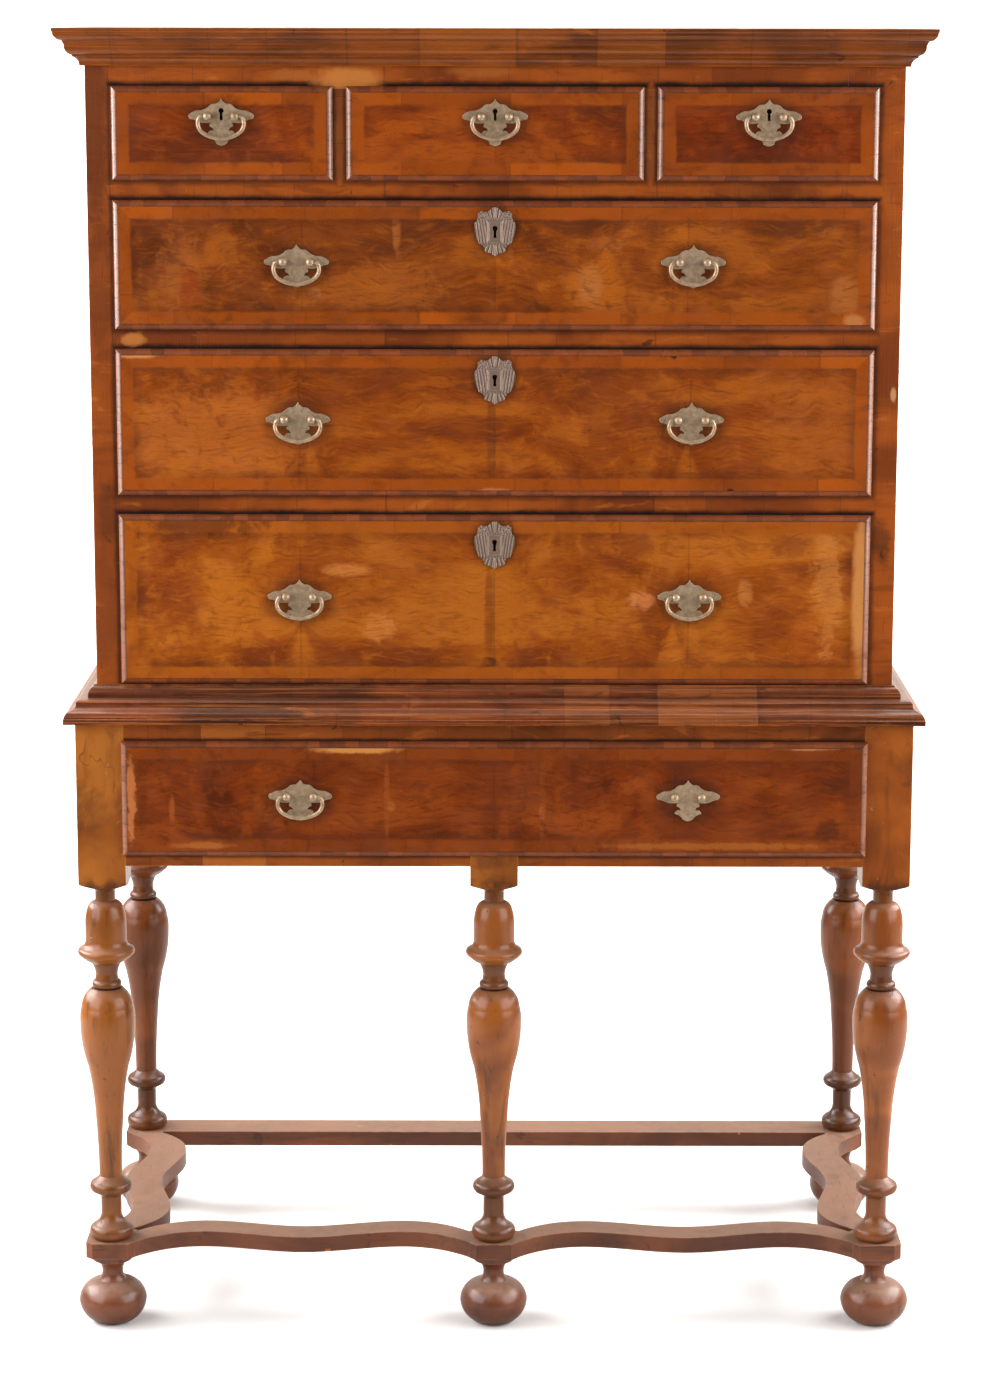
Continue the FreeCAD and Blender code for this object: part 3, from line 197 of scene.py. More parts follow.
def turned_walnut(name, light, middle, dark, dust, seed, coat=0.1):
    """Walnut off the lathe, with upright grain, old knocks, grime and painted shade in its creases and dust
    on its rings.
    """
    material, bench, place, shader = new_finish(name)
    grain = bench.effect("Grain", Place=place, Stretch=(60.0, 60.0, 8.0), Seed=seed)
    age = bench.effect("Age", Place=place, Reach=0.022, Dust=dust)
    worn = bench.effect("Rubbed edges", Place=place, Width=0.003)["Rubbed"]
    colour = bench.blend(bench.ease(grain["Cloud"], 0.1, 0.9), tint(*middle), tint(*light))
    colour = bench.wash(colour, grain["Fibre"], 0.5, 0.25, 0.75, tint(*dark))
    colour = bench.stain(colour, grain["Pores"], 0.3, tint(*dark))
    knocks = bench.ease(bench.noise(place, 120.0, 2.0, 0.5, 0.6), 0.69, 0.74)
    colour = bench.stain(colour, knocks, 0.6, tint(58, 32, 18))
    colour = bench.stain(colour, worn, 0.35, tint(196, 124, 74))
    # darker in the hollows: painted shade together with grime, from ambient occlusion
    colour = bench.blend(age["Grime and shade"], colour, tint(44, 26, 18))
    colour = bench.blend(age["Dust"], colour, tint(146, 116, 96))
    gloss = bench.plus(bench.ease(age["Grime and shade"], 0.0, 1.0, 0.3, 0.55), bench.times(age["Dust"], 0.3))
    height = bench.minus(bench.times(grain["Fibre"], 0.4), bench.times(knocks, 2.0))
    waxed(bench, shader, colour, gloss, height, 0.0003, coat)
    return material


lay_on(turned_walnut("foot walnut", (118, 66, 40), (92, 48, 29), (54, 30, 20), 0.7, 3.0, 0.2), "bun_feet")


# ---- Stretchers ------------------------------------------------------------------------------------------
# Flat walnut boards sawn to shape, threaded on the pegs between the legs and the feet. Their tops are
# dry and dusty and their edges are knocked.

def sawn_walnut(name, stretch, light, dark, dust, seed):
    material, bench, place, shader = new_finish(name)
    grain = bench.effect("Grain", Place=place, Stretch=stretch, Seed=seed)
    age = bench.effect("Age", Place=place, Reach=0.02, Dust=dust)
    worn = bench.effect("Rubbed edges", Place=place, Width=0.003)["Rubbed"]
    colour = bench.blend(bench.ease(grain["Cloud"], 0.0, 1.0), tint(*dark), tint(*light))
    colour = bench.wash(colour, grain["Fibre"], 0.52, 0.3, 0.6, tint(66, 36, 24))
    stains = bench.ease(bench.noise(place, 24.0, 4.0, 0.6, 0.8), 0.62, 0.7)
    colour = bench.stain(colour, stains, 0.65, tint(48, 28, 22))
    chips = bench.ease(bench.noise(bench.vector("ADD", place, (3.0, 5.0, 7.0)), 30.0, 3.0, 0.6), 0.7, 0.73)
    colour = bench.stain(colour, chips, 0.7, tint(186, 112, 54))
    colour = bench.stain(colour, worn, 0.5, tint(178, 116, 74))
    colour = bench.stain(colour, grain["Pores"], 0.4, tint(46, 26, 18))
    # darker in the hollows: painted shade together with grime, from ambient occlusion
    colour = bench.blend(age["Grime and shade"], colour, tint(40, 26, 20))
    colour = bench.blend(age["Dust"], colour, tint(140, 108, 86))
    gloss = bench.ease(age["Dust"], 0.0, 1.0, 0.45, 0.85)
    waxed(bench, shader, colour, gloss, bench.minus(grain["Fibre"], grain["Pores"]), 0.0005, 0.04)
    return material


lay_on(sawn_walnut("long stretcher walnut", (5.0, 50.0, 50.0), (116, 64, 36), (82, 43, 26), 0.7, 11.0),
       "front_stretcher", "back_stretcher")
lay_on(sawn_walnut("side stretcher walnut", (50.0, 5.0, 50.0), (116, 64, 36), (82, 43, 26), 0.7, 13.0),
       "side_stretchers")


# ---- Legs ------------------------------------------------------------------------------------------------
# Each leg is one piece of walnut, turned to a vase below a square that takes the stand's frame. The
# squares are veneered, with the figure running up them, and their lower corners are bruised and dark.

square_below_apron = 0.028
post_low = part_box("stand_aprons")[0].z - square_below_apron
foot_rings, neck_rings = 0.145, 0.432
# dark rings painted where the turning has its creases: painted shade
shade_rings = ((foot_rings, 0.046), (neck_rings, 0.022), (post_low, 0.024))     # height, reach of the painted shade


def leg_finish(name, light, middle, dark, dust, seed, squares, coat=0.1):
    """A turned leg with a veneered square. squares are the dark and the light of that veneer."""
    material = turned_walnut(name, light, middle, dark, dust, seed, coat)
    bench, place, shader, turned_colour = reopen(material)
    height = bench.split(place)["Z"]
    veneer = bench.effect("Grain", Place=place, Stretch=(34.0, 34.0, 9.0), Seed=seed + 20.0)
    worn = bench.effect("Rubbed edges", Place=place, Width=0.003)["Rubbed"]
    deep, bright = (tint(*shade) for shade in squares)
    square = bench.blend(bench.ease(veneer["Cloud"], 0.0, 1.0), deep, bright)
    square = bench.wash(square, veneer["Fibre"], 0.5, 0.25, 0.6, tint(84, 42, 16))
    moved = bench.vector("ADD", place, (seed, 0.0, 0.0))
    stain = bench.ease(bench.noise(moved, 15.0, 4.0, 0.65, 0.6), 0.52, 0.68)
    square = bench.stain(square, stain, 0.55, tint(92, 50, 22))
    crack_place = bench.vector("ADD", bench.stretch(place, (22.0, 22.0, 7.0)), (seed, 1.0, 2.0))
    crack = bench.math("ABSOLUTE", bench.minus(bench.noise(crack_place, 1.0, 2.0, 0.4, 0.2), 0.5))
    crack = bench.times(bench.ease(crack, 0.004, 0.0012), bench.ease(veneer["Cloud"], 0.55, 0.85))
    square = bench.stain(square, crack, 0.4, tint(44, 22, 12))
    square = bench.stain(square, worn, 0.45, tint(198, 128, 66))
    bruise = bench.times(bench.ease(height, post_low + 0.02, post_low),
                         bench.ease(bench.noise(place, 60.0, 3.0), 0.35, 0.6))
    square = bench.stain(square, bruise, 0.8, tint(52, 30, 20))
    # the turning is painted darker round its creases: painted shade
    for ring_height, reach in shade_rings:
        from_rings = bench.math("ABSOLUTE", bench.minus(height, ring_height))
        ring_shade = bench.times(bench.ease(from_rings, reach, reach * 0.6),
                            bench.ease(veneer["Cloud"], 0.0, 1.0, 0.35, 0.7))
        turned_colour = bench.blend(ring_shade, turned_colour, tint(*dark))
    on_square = bench.ease(height, post_low - 0.0005, post_low + 0.0005)
    bench.wire(bench.blend(on_square, turned_colour, square), shader.inputs["Base Color"])
    return material


golden = ((136, 72, 22), (176, 104, 38))
brown = ((128, 62, 18), (166, 88, 28))
# the squares of the back legs are painted darker: a painted shade for the legs that stand furthest back
back_leg_shade_tones = ((84, 43, 16), (116, 62, 24))
lay_on(leg_finish("left front leg walnut", (146, 83, 29), (116, 60, 19), (64, 34, 15), 0.5, 1.0, golden),
       "front_leg_left")
lay_on(leg_finish("middle front leg walnut", (150, 84, 30), (120, 61, 19), (66, 35, 15), 0.5, 6.0, golden),
       "front_leg_middle")
lay_on(leg_finish("right front leg walnut", (156, 88, 33), (126, 65, 21), (68, 36, 16), 0.5, 8.0, brown),
       "front_leg_right")
# the back legs take a darker copy of the leg walnut: painted shade
lay_on(leg_finish("back leg walnut, painted darker", (128, 67, 24), (98, 49, 16), (54, 29, 12), 0.2, 15.0, back_leg_shade_tones, 0.03),
       "back_leg_left", "back_leg_right")


# ---- Stand frame -----------------------------------------------------------------------------------------
# Side and back aprons and three front rails, tenoned between the squares. What shows is veneered with
# walnut laid across the rail in short pieces, and some of them have been let in later.

# veneer pieces: a strip covered with short pieces laid side by side, each of its own tone, with fine joints
bench, given, result = new_effect(
    "Veneer pieces", {"Along": FLOAT, "Across": FLOAT, "Length": FLOAT, "Seed": FLOAT},
    {"Tone": FLOAT, "Joint": FLOAT, "Fibre": FLOAT})
sway = bench.noise(bench.join(given["Along"], given["Seed"]), 7.0, 1.0)
step = bench.plus(bench.math("DIVIDE", given["Along"], given["Length"]), bench.times(sway, 1.6))
piece = bench.join(bench.math("FLOOR", step), given["Seed"])
tone = bench.node("ShaderNodeTexWhiteNoise", {"Vector": piece}, noise_dimensions="3D").outputs["Value"]
bench.wire(tone, result.inputs["Tone"])
near = bench.math("ABSOLUTE", bench.minus(bench.math("FRACT", step), 0.5))
bench.wire(bench.ease(near, 0.488, 0.499), result.inputs["Joint"])
fibre_place = bench.join(bench.times(given["Along"], 420.0), bench.times(tone, 50.0),
                         bench.times(given["Across"], 30.0))
bench.wire(bench.noise(fibre_place, 1.0, 3.0, 0.6, 0.3), result.inputs["Fibre"])


def cross_laid(name, along, across, length, tones, seed, dust=0.3, patchy=0.5, streaks_and_painted_light=0.0, coat=0.2):
    """Walnut veneer laid across a rail or a moulding. tones are its dark, its middle and its light. The
    streak strength sets how strongly light and dark lines are painted along it: scraper marks and wear, and
    on a moulding painted highlight and shade lines as well."""
    material, bench, place, shader = new_finish(name)
    axes = bench.split(place)
    strip = bench.effect("Veneer pieces", Along=axes[along], Across=axes[across], Length=length, Seed=seed)
    grain = bench.effect("Grain", Place=place, Stretch=(30.0, 30.0, 30.0), Seed=seed)
    age = bench.effect("Age", Place=place, Reach=0.012, Dust=dust)
    worn = bench.effect("Rubbed edges", Place=place, Width=0.0025)["Rubbed"]
    dark, middle, light = (tint(*shade) for shade in tones)
    colour = bench.blend(bench.ease(grain["Cloud"], 0.1, 0.9), dark, middle)
    colour = bench.blend(bench.ease(strip["Tone"], 0.0, 1.0, 0.0, patchy), colour, middle)
    colour = bench.blend(bench.times(bench.ease(strip["Tone"], 0.86, 0.95), patchy), colour, light)
    stain_place = bench.join(bench.times(axes[along], 14.0), seed, bench.times(axes[across], 60.0))
    stain = bench.noise(stain_place, 1.0, 5.0, 0.62, 0.7)
    colour = bench.wash(colour, stain, 0.52, 0.68, 0.6, dark)
    colour = bench.wash(colour, stain, 0.42, 0.3, 0.5, light)
    colour = bench.wash(colour, strip["Fibre"], 0.42, 0.2, 0.4, tint(62, 30, 12))
    # light and dark lines painted lengthways: scraper marks, and on a moulding painted highlight and shade
    # lines along its profile
    lengthways = bench.join(bench.times(axes[along], 5.0), seed, bench.times(axes[across], 420.0))
    scraped_and_painted_light = bench.noise(lengthways, 1.0, 4.0, 0.6, 0.2)
    colour = bench.wash(colour, scraped_and_painted_light, 0.5, 0.72, streaks_and_painted_light, light)
    colour = bench.wash(colour, scraped_and_painted_light, 0.5, 0.3, streaks_and_painted_light, tint(52, 26, 14))
    moved = bench.vector("ADD", place, (seed, 0.0, 0.0))
    knots = bench.ease(bench.noise(moved, 46.0, 2.0, 0.5, 0.8), 0.71, 0.75)
    colour = bench.stain(colour, knots, 0.7, tint(48, 24, 12))
    colour = bench.stain(colour, worn, 0.55, light)
    colour = bench.stain(colour, strip["Joint"], 0.45, tint(56, 28, 14))
    # darker in the hollows: painted shade together with grime, from ambient occlusion
    colour = bench.blend(age["Grime and shade"], colour, tint(36, 20, 13))
    colour = bench.blend(age["Dust"], colour, tint(132, 98, 78))
    height = bench.minus(bench.plus(strip["Fibre"], scraped_and_painted_light), bench.times(strip["Joint"], 0.2))
    waxed(bench, shader, colour, bench.ease(age["Grime and shade"], 0.0, 1.0, 0.28, 0.55), height, 0.0003, coat)
    return material


rail_tones = ((86, 40, 12), (144, 71, 22), (186, 104, 40))
stand_rail_finish = cross_laid("stand rail veneer", "X", "Z", 0.07, rail_tones, 5.0, patchy=0.6)
lay_on(stand_rail_finish, "stand_front_rails")

# the aprons are veneered, all but the back one
apron_tones = ((96, 46, 14), (128, 66, 22), (150, 82, 32))
apron_finish = cross_laid("apron veneer", "Z", "Y", 0.5, apron_tones, 9.0, patchy=0.2)
bench, place, shader, veneered = reopen(apron_finish)
planed = bench.effect("Grain", Place=place, Stretch=(6.0, 50.0, 50.0), Seed=10.0)
bare = bench.blend(planed["Fibre"], tint(92, 62, 38), tint(142, 104, 66))
bare = bench.stain(bare, planed["Cloud"], 0.4, tint(84, 58, 38))
back_apron_zone = 0.03
back_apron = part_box("stand_aprons")[1].y - back_apron_zone
at_back = bench.ease(bench.split(place)["Y"], back_apron, back_apron + 0.001)
bench.wire(bench.blend(at_back, veneered, bare), shader.inputs["Base Color"])
lay_on(apron_finish, "stand_aprons")


# ---- Bare timber -----------------------------------------------------------------------------------------
# Pine and oak that nobody was meant to see: runners, guides, dust boards, the backs and the drawer
# linings. It is planed, never waxed, and has gone brown with age.

def bare_timber(name, stretch, light, dark, seed, dust=0.5):
    material, bench, place, shader = new_finish(name)
    grain = bench.effect("Grain", Place=place, Stretch=stretch, Seed=seed)
    age = bench.effect("Age", Place=place, Reach=0.03, Dust=dust)
    rings = bench.noise(bench.stretch(place, [size * 0.35 for size in stretch]), 1.0, 3.0, 0.5, 1.2)
    ring = bench.ease(bench.math("FRACT", bench.times(rings, 9.0)), 0.1, 0.9)
    tone = bench.plus(bench.times(grain["Fibre"], 0.8), bench.times(ring, 0.16))
    colour = bench.blend(bench.ease(tone, 0.2, 0.75), tint(*dark), tint(*light))
    stain = bench.ease(grain["Cloud"], 0.5, 1.0, 0.0, 0.45)
    colour = bench.blend(stain, colour, tint(96, 68, 44))
    colour = bench.stain(colour, grain["Pores"], 0.4, tint(70, 48, 30))
    # darker in the hollows: painted shade together with grime, from ambient occlusion
    colour = bench.blend(age["Grime and shade"], colour, tint(60, 44, 32))
    colour = bench.blend(age["Dust"], colour, tint(160, 142, 120))
    dull = bench.ease(grain["Fibre"], 0.2, 0.8, 0.85, 0.65)
    waxed(bench, shader, colour, dull, grain["Fibre"], 0.0006, 0.0)
    return material


pine_along = bare_timber("pine, along", (5.0, 55.0, 55.0), (158, 116, 70), (112, 76, 44), 17.0)
pine_back = bare_timber("pine, front to back", (55.0, 5.0, 55.0), (152, 112, 68), (106, 72, 42), 23.0)
lay_on(pine_along, "case_back_boards", "stand_top_board", "case_bottom_board", "dust_boards")
lay_on(pine_back, "stand_drawer_runners", "drawer_guides")


# ---- Mouldings -------------------------------------------------------------------------------------------
# The waist moulding on the stand and the cornice on the case. Both are pine faced with walnut cut across
# the grain, scraped to a profile, mitred at the two front corners and glued on.

def moulding_finish(name, length, tones, seed, dust, patchy, streaks_and_painted_light):
    """The pieces run along X in front and along Y at the sides, so the place along follows the side."""
    material = cross_laid(name, "X", "Z", length, tones, seed, dust, patchy, streaks_and_painted_light, 0.06)
    bench, place, _, _ = reopen(material)
    case_low, case_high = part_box("case_front_frame")
    axes = bench.split(place)
    beside = bench.minus(bench.math("ABSOLUTE", axes["X"]), case_high.x)
    at_side = bench.math("GREATER_THAN", beside, bench.minus(case_low.y, axes["Y"]))
    along = bench.plus(bench.times(axes["Y"], at_side), bench.times(axes["X"], bench.minus(1.0, at_side)))
    for node in list(material.node_tree.nodes):
        if node.type == "GROUP" and node.node_tree.name == "Veneer pieces":
            bench.wire(along, node.inputs["Along"])
    return material


waist_tones = ((60, 27, 13), (120, 56, 23), (186, 106, 48))
cornice_tones = ((94, 43, 8), (134, 65, 13), (170, 92, 26))
lay_on(moulding_finish("waist moulding walnut", 0.06, waist_tones, 31.0, 0.3, 0.35, 0.75), "waist_moulding")
lay_on(moulding_finish("cornice walnut", 0.09, cornice_tones, 37.0, 0.1, 0.25, 0.45), "cornice_moulding")


# ---- Case ------------------------------------------------------------------------------------------------
# Pine boards veneered with walnut on the top, the sides and the front edges. The front frame has two
# stiles and the rails between the drawers, crossbanded, with two short partitions in the top row.

side_finish, bench, place, shader = new_finish("case side walnut")
figure = bench.noise(bench.stretch(place, (9.0, 9.0, 2.2)), 1.0, 5.0, 0.55, 1.6)
grain = bench.effect("Grain", Place=place, Stretch=(70.0, 70.0, 6.0), Seed=41.0)
age = bench.effect("Age", Place=place, Reach=0.02, Dust=0.7)
colour = bench.blend(bench.ease(figure, 0.3, 0.7), tint(104, 50, 15), tint(148, 76, 24))
colour = bench.wash(colour, grain["Fibre"], 0.5, 0.8, 0.35, tint(186, 112, 50))
colour = bench.stain(colour, grain["Pores"], 0.5, tint(66, 32, 14))
colour = bench.stain(colour, grain["Cloud"], 0.3, tint(92, 42, 16))
colour = bench.blend(age["Dust"], colour, tint(140, 112, 88))
waxed(bench, shader, colour, 0.34, grain["Fibre"], 0.0003)
lay_on(side_finish, "case_sides", "case_top_board")

small_drawers = ("small_drawer_left", "small_drawer_middle", "small_drawer_right")
long_drawers = ("second_drawer", "third_drawer", "bottom_drawer")
case_drawers = small_drawers + long_drawers
all_drawers = case_drawers + ("stand_drawer",)

# border: how far a point lies inside a drawer front's edge, where along the edge, and if the side is upright
bench, given, result = new_effect(
    "Border", {"Place": VECTOR, "Middle": VECTOR, "Half": VECTOR},
    {"Inset": FLOAT, "Along": FLOAT, "Upright": FLOAT})
from_middle = bench.vector("SUBTRACT", given["Place"], given["Middle"])
out = bench.split(bench.node("ShaderNodeVectorMath", {0: from_middle}, operation="ABSOLUTE").outputs[0])
half = bench.split(given["Half"])
from_side = bench.minus(half["X"], out["X"])
from_end = bench.minus(half["Z"], out["Z"])
upright = bench.math("LESS_THAN", from_side, from_end)
bench.wire(bench.math("MINIMUM", from_side, from_end), result.inputs["Inset"])
bench.wire(upright, result.inputs["Upright"])
axes = bench.split(given["Place"])
along = bench.plus(bench.times(axes["Z"], upright), bench.times(axes["X"], bench.minus(1.0, upright)))
bench.wire(along, result.inputs["Along"])

# mark: a soft, ragged patch of another tone, such as a stain, a burr or a worn place
bench, given, result = new_effect(
    "Mark", {"Place": VECTOR, "Middle": VECTOR, "Reach": VECTOR, "Ragged": FLOAT}, {"Mark": FLOAT})
offset = bench.vector("DIVIDE", bench.vector("SUBTRACT", given["Place"], given["Middle"]), given["Reach"])
far = bench.node("ShaderNodeVectorMath", {0: offset}, operation="LENGTH").outputs["Value"]
torn = bench.times(bench.minus(bench.noise(given["Place"], 55.0, 5.0, 0.7, 0.8), 0.5),
                   bench.times(given["Ragged"], 1.4))
bench.wire(bench.ease(bench.plus(far, torn), 1.08, 0.5), result.inputs["Mark"])


def marked(bench, colour, place, marks, x=0.0, z=0.0):
    """Lays marks over a colour: (right, up, reach across, reach up, how ragged, how strong, shade)."""
    flat = bench.stretch(place, (1.0, 0.0, 1.0))
    for right, up, wide, tall, ragged, strength, shade in marks:
        mark = bench.effect("Mark", Place=flat, Middle=(x + right, 0.0, z + up), Reach=(wide, 1.0, tall),
                            Ragged=ragged)
        colour = bench.stain(colour, mark["Mark"], strength, tint(*shade))
    return colour


def paint_dirt_and_shadow(material, drawers, width=0.0035, shadow_above=0.8):
    """Paints dirt and a shadow line on a frame round the lips of its drawers: grime in the crevice, and
    painted shadow from the gap, strongest just above each drawer.
    """
    bench, place, shader, colour = reopen(material)
    ragged = bench.times(bench.noise(place, 30.0, 4.0, 0.6), width)
    for drawer in drawers:
        low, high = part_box(f"{drawer}_front")
        middle, half = (low + high) / 2, (high - low) / 2
        edge = bench.effect("Border", Place=place, Middle=(middle.x, 0.0, middle.z),
                            Half=(half.x, 1.0, half.z))
        inset = bench.plus(edge["Inset"], ragged)
        dirt_and_shadow = bench.ease(inset, -width, width * 0.3)
        # painted shadow: darker just above each drawer, where the gap under the rail lies in shade
        level = bench.ease(bench.split(place)["Z"], high.z - 0.001, high.z + 0.0005, 0.6, shadow_above)
        colour = bench.stain(colour, dirt_and_shadow, level, tint(24, 12, 8))
    bench.wire(colour, shader.inputs["Base Color"])


frame_tones = ((116, 52, 14), (160, 78, 21), (192, 108, 38))
frame_finish = cross_laid("case frame veneer", "X", "Z", 0.075, frame_tones, 43.0)
# painted shadow and dirt round the drawers of the case, darkest in the line above each of them
paint_dirt_and_shadow(frame_finish, case_drawers, 0.0055, shadow_above=1.0)
bench, place, shader, colour = reopen(frame_finish)
colour = marked(bench, colour, place, [
    (-0.166, 1.480, 0.046, 0.016, 0.5, 0.85, (196, 122, 56)),
    (-0.230, 1.484, 0.030, 0.008, 0.8, 0.6, (170, 98, 42)),
    (-0.016, 1.490, 0.045, 0.010, 0.5, 0.6, (168, 94, 36)),
    (-0.415, 1.186, 0.018, 0.010, 0.8, 0.85, (190, 118, 54)),
    (0.447, 0.950, 0.014, 0.034, 1.0, 0.6, (60, 30, 14)),
    (0.458, 1.124, 0.004, 0.010, 0.8, 0.8, (206, 150, 104)),
    (-0.448, 0.985, 0.016, 0.040, 1.2, 0.5, (70, 36, 18)),
    (0.300, 1.354, 0.090, 0.010, 1.0, 0.4, (74, 36, 14)),
    (-0.456, 1.440, 0.022, 0.170, 0.9, 0.75, (92, 44, 20)),
    (-0.452, 1.250, 0.016, 0.120, 1.2, 0.5, (104, 50, 20)),
    (-0.452, 0.870, 0.014, 0.100, 1.4, 0.45, (112, 56, 26)),
])
bench.wire(colour, shader.inputs["Base Color"])
lay_on(frame_finish, "case_front_frame")
partition_tones = ((104, 50, 20), (146, 78, 34), (190, 116, 60))
partition_finish = cross_laid("partition veneer", "Z", "X", 0.05, partition_tones, 47.0)
# painted shadow and dirt round the small drawers on their partitions
paint_dirt_and_shadow(partition_finish, small_drawers)
lay_on(partition_finish, "small_drawer_partitions")
# painted shadow and dirt on the stand rail round its drawer
paint_dirt_and_shadow(stand_rail_finish, ("stand_drawer",), shadow_above=0.9)


# ---- Drawer linings --------------------------------------------------------------------------------------
# Two sides, a back and a bottom of thin oak boards, nailed and glued behind each front. Two strips
# below the bottom take the wear of running in and out.

oak = bare_timber("drawer oak", (50.0, 6.0, 50.0), (150, 114, 74), (122, 90, 56), 53.0, 0.25)
for drawer in all_drawers:
    lay_on(oak, f"{drawer}_box")


# ---- Drawer fronts ---------------------------------------------------------------------------------------
# Pine fronts veneered with figured walnut in book-matched leaves, inside a crossbanded border. The edge
# is a thumb moulding of walnut cut across the grain, planted on all round and mitred at the corners.

# figure: book-matched leaves with soft clouds of tone, curls of grain across them and fine fibres
bench, given, result = new_effect(
    "Figure", {"Place": VECTOR, "Leaf": FLOAT, "Seed": FLOAT, "Curl": FLOAT},
    {"Clouds": FLOAT, "Mottle": FLOAT, "Curls": FLOAT, "Fibre": FLOAT, "Pores": FLOAT, "Leaf tone": FLOAT,
     "Seam": FLOAT})
axes = bench.split(given["Place"])
leaf = bench.math("DIVIDE", axes["X"], given["Leaf"])
folded = bench.math("PINGPONG", axes["X"], given["Leaf"])
sheet = bench.join(folded, given["Seed"], axes["Z"])
uneven = bench.join(bench.plus(folded, bench.times(axes["X"], 0.4)), given["Seed"], axes["Z"])
bench.wire(bench.noise(bench.stretch(uneven, (7.0, 1.0, 12.0)), 1.0, 5.0, 0.55, 0.5), result.inputs["Clouds"])
bench.wire(bench.noise(bench.stretch(uneven, (34.0, 1.0, 46.0)), 1.0, 4.0, 0.6, given["Curl"]),
           result.inputs["Mottle"])
wavy = bench.plus(axes["Z"], bench.times(bench.noise(sheet, 14.0, 2.0), 0.05))
curls = bench.join(bench.times(folded, 34.0), given["Seed"], bench.times(wavy, 300.0))
bench.wire(bench.noise(curls, 1.0, 4.0, 0.62, 0.3), result.inputs["Curls"])
bench.wire(bench.noise(bench.stretch(sheet, (60.0, 1.0, 900.0)), 1.0, 4.0, 0.6, 0.4), result.inputs["Fibre"])
pore = bench.noise(bench.stretch(sheet, (150.0, 1.0, 1900.0)), 1.0, 1.0)
bench.wire(bench.ease(pore, 0.62, 0.75), result.inputs["Pores"])
leaf_number = bench.join(bench.math("FLOOR", leaf), given["Seed"])
leaf_tone = bench.node("ShaderNodeTexWhiteNoise", {"Vector": leaf_number}, noise_dimensions="3D")
bench.wire(leaf_tone.outputs["Value"], result.inputs["Leaf tone"])
fold = bench.math("ABSOLUTE", bench.minus(bench.math("FRACT", leaf), 0.5))
bench.wire(bench.ease(fold, 0.494, 0.4995), result.inputs["Seam"])

# flame: the figure that fans out downwards from one point, pale in the middle and dark beside it
bench, given, result = new_effect(
    "Flame", {"Place": VECTOR, "Tip": VECTOR, "Seed": FLOAT}, {"Pale": FLOAT, "Dark": FLOAT})
axes = bench.split(bench.vector("SUBTRACT", given["Place"], given["Tip"]))
down = bench.times(axes["Z"], -1.0)
slant = bench.math("DIVIDE", axes["X"], bench.math("MAXIMUM", down, 0.004))
sway = bench.times(bench.minus(bench.noise(given["Place"], 22.0, 3.0), 0.5), 0.25)
spread = bench.math("ABSOLUTE", bench.plus(slant, sway))
below = bench.ease(down, 0.0, 0.012)
bench.wire(bench.times(bench.ease(spread, 0.45, 0.1), below), result.inputs["Pale"])
ray_place = bench.join(bench.times(slant, 7.0), given["Seed"], bench.times(down, 9.0))
rays = bench.ease(bench.noise(ray_place, 1.0, 3.0, 0.6), 0.35, 0.65, 0.4, 1.0)
beside = bench.times(bench.ease(spread, 0.25, 0.5), bench.ease(spread, 1.4, 0.7))
bench.wire(bench.times(bench.times(beside, below), rays), result.inputs["Dark"])

# in metres: the lip, the border and how far its inner line strays, the strips at the sides and at the top
# and bottom where marks lie over the border, and how deep the bare pine is behind the veneer
lip_wide, band_wide, wander_wide = 0.0068, 0.0125, 0.006
edge_wide, edge_tall = 0.03, 0.02
pine_deep = 0.0165


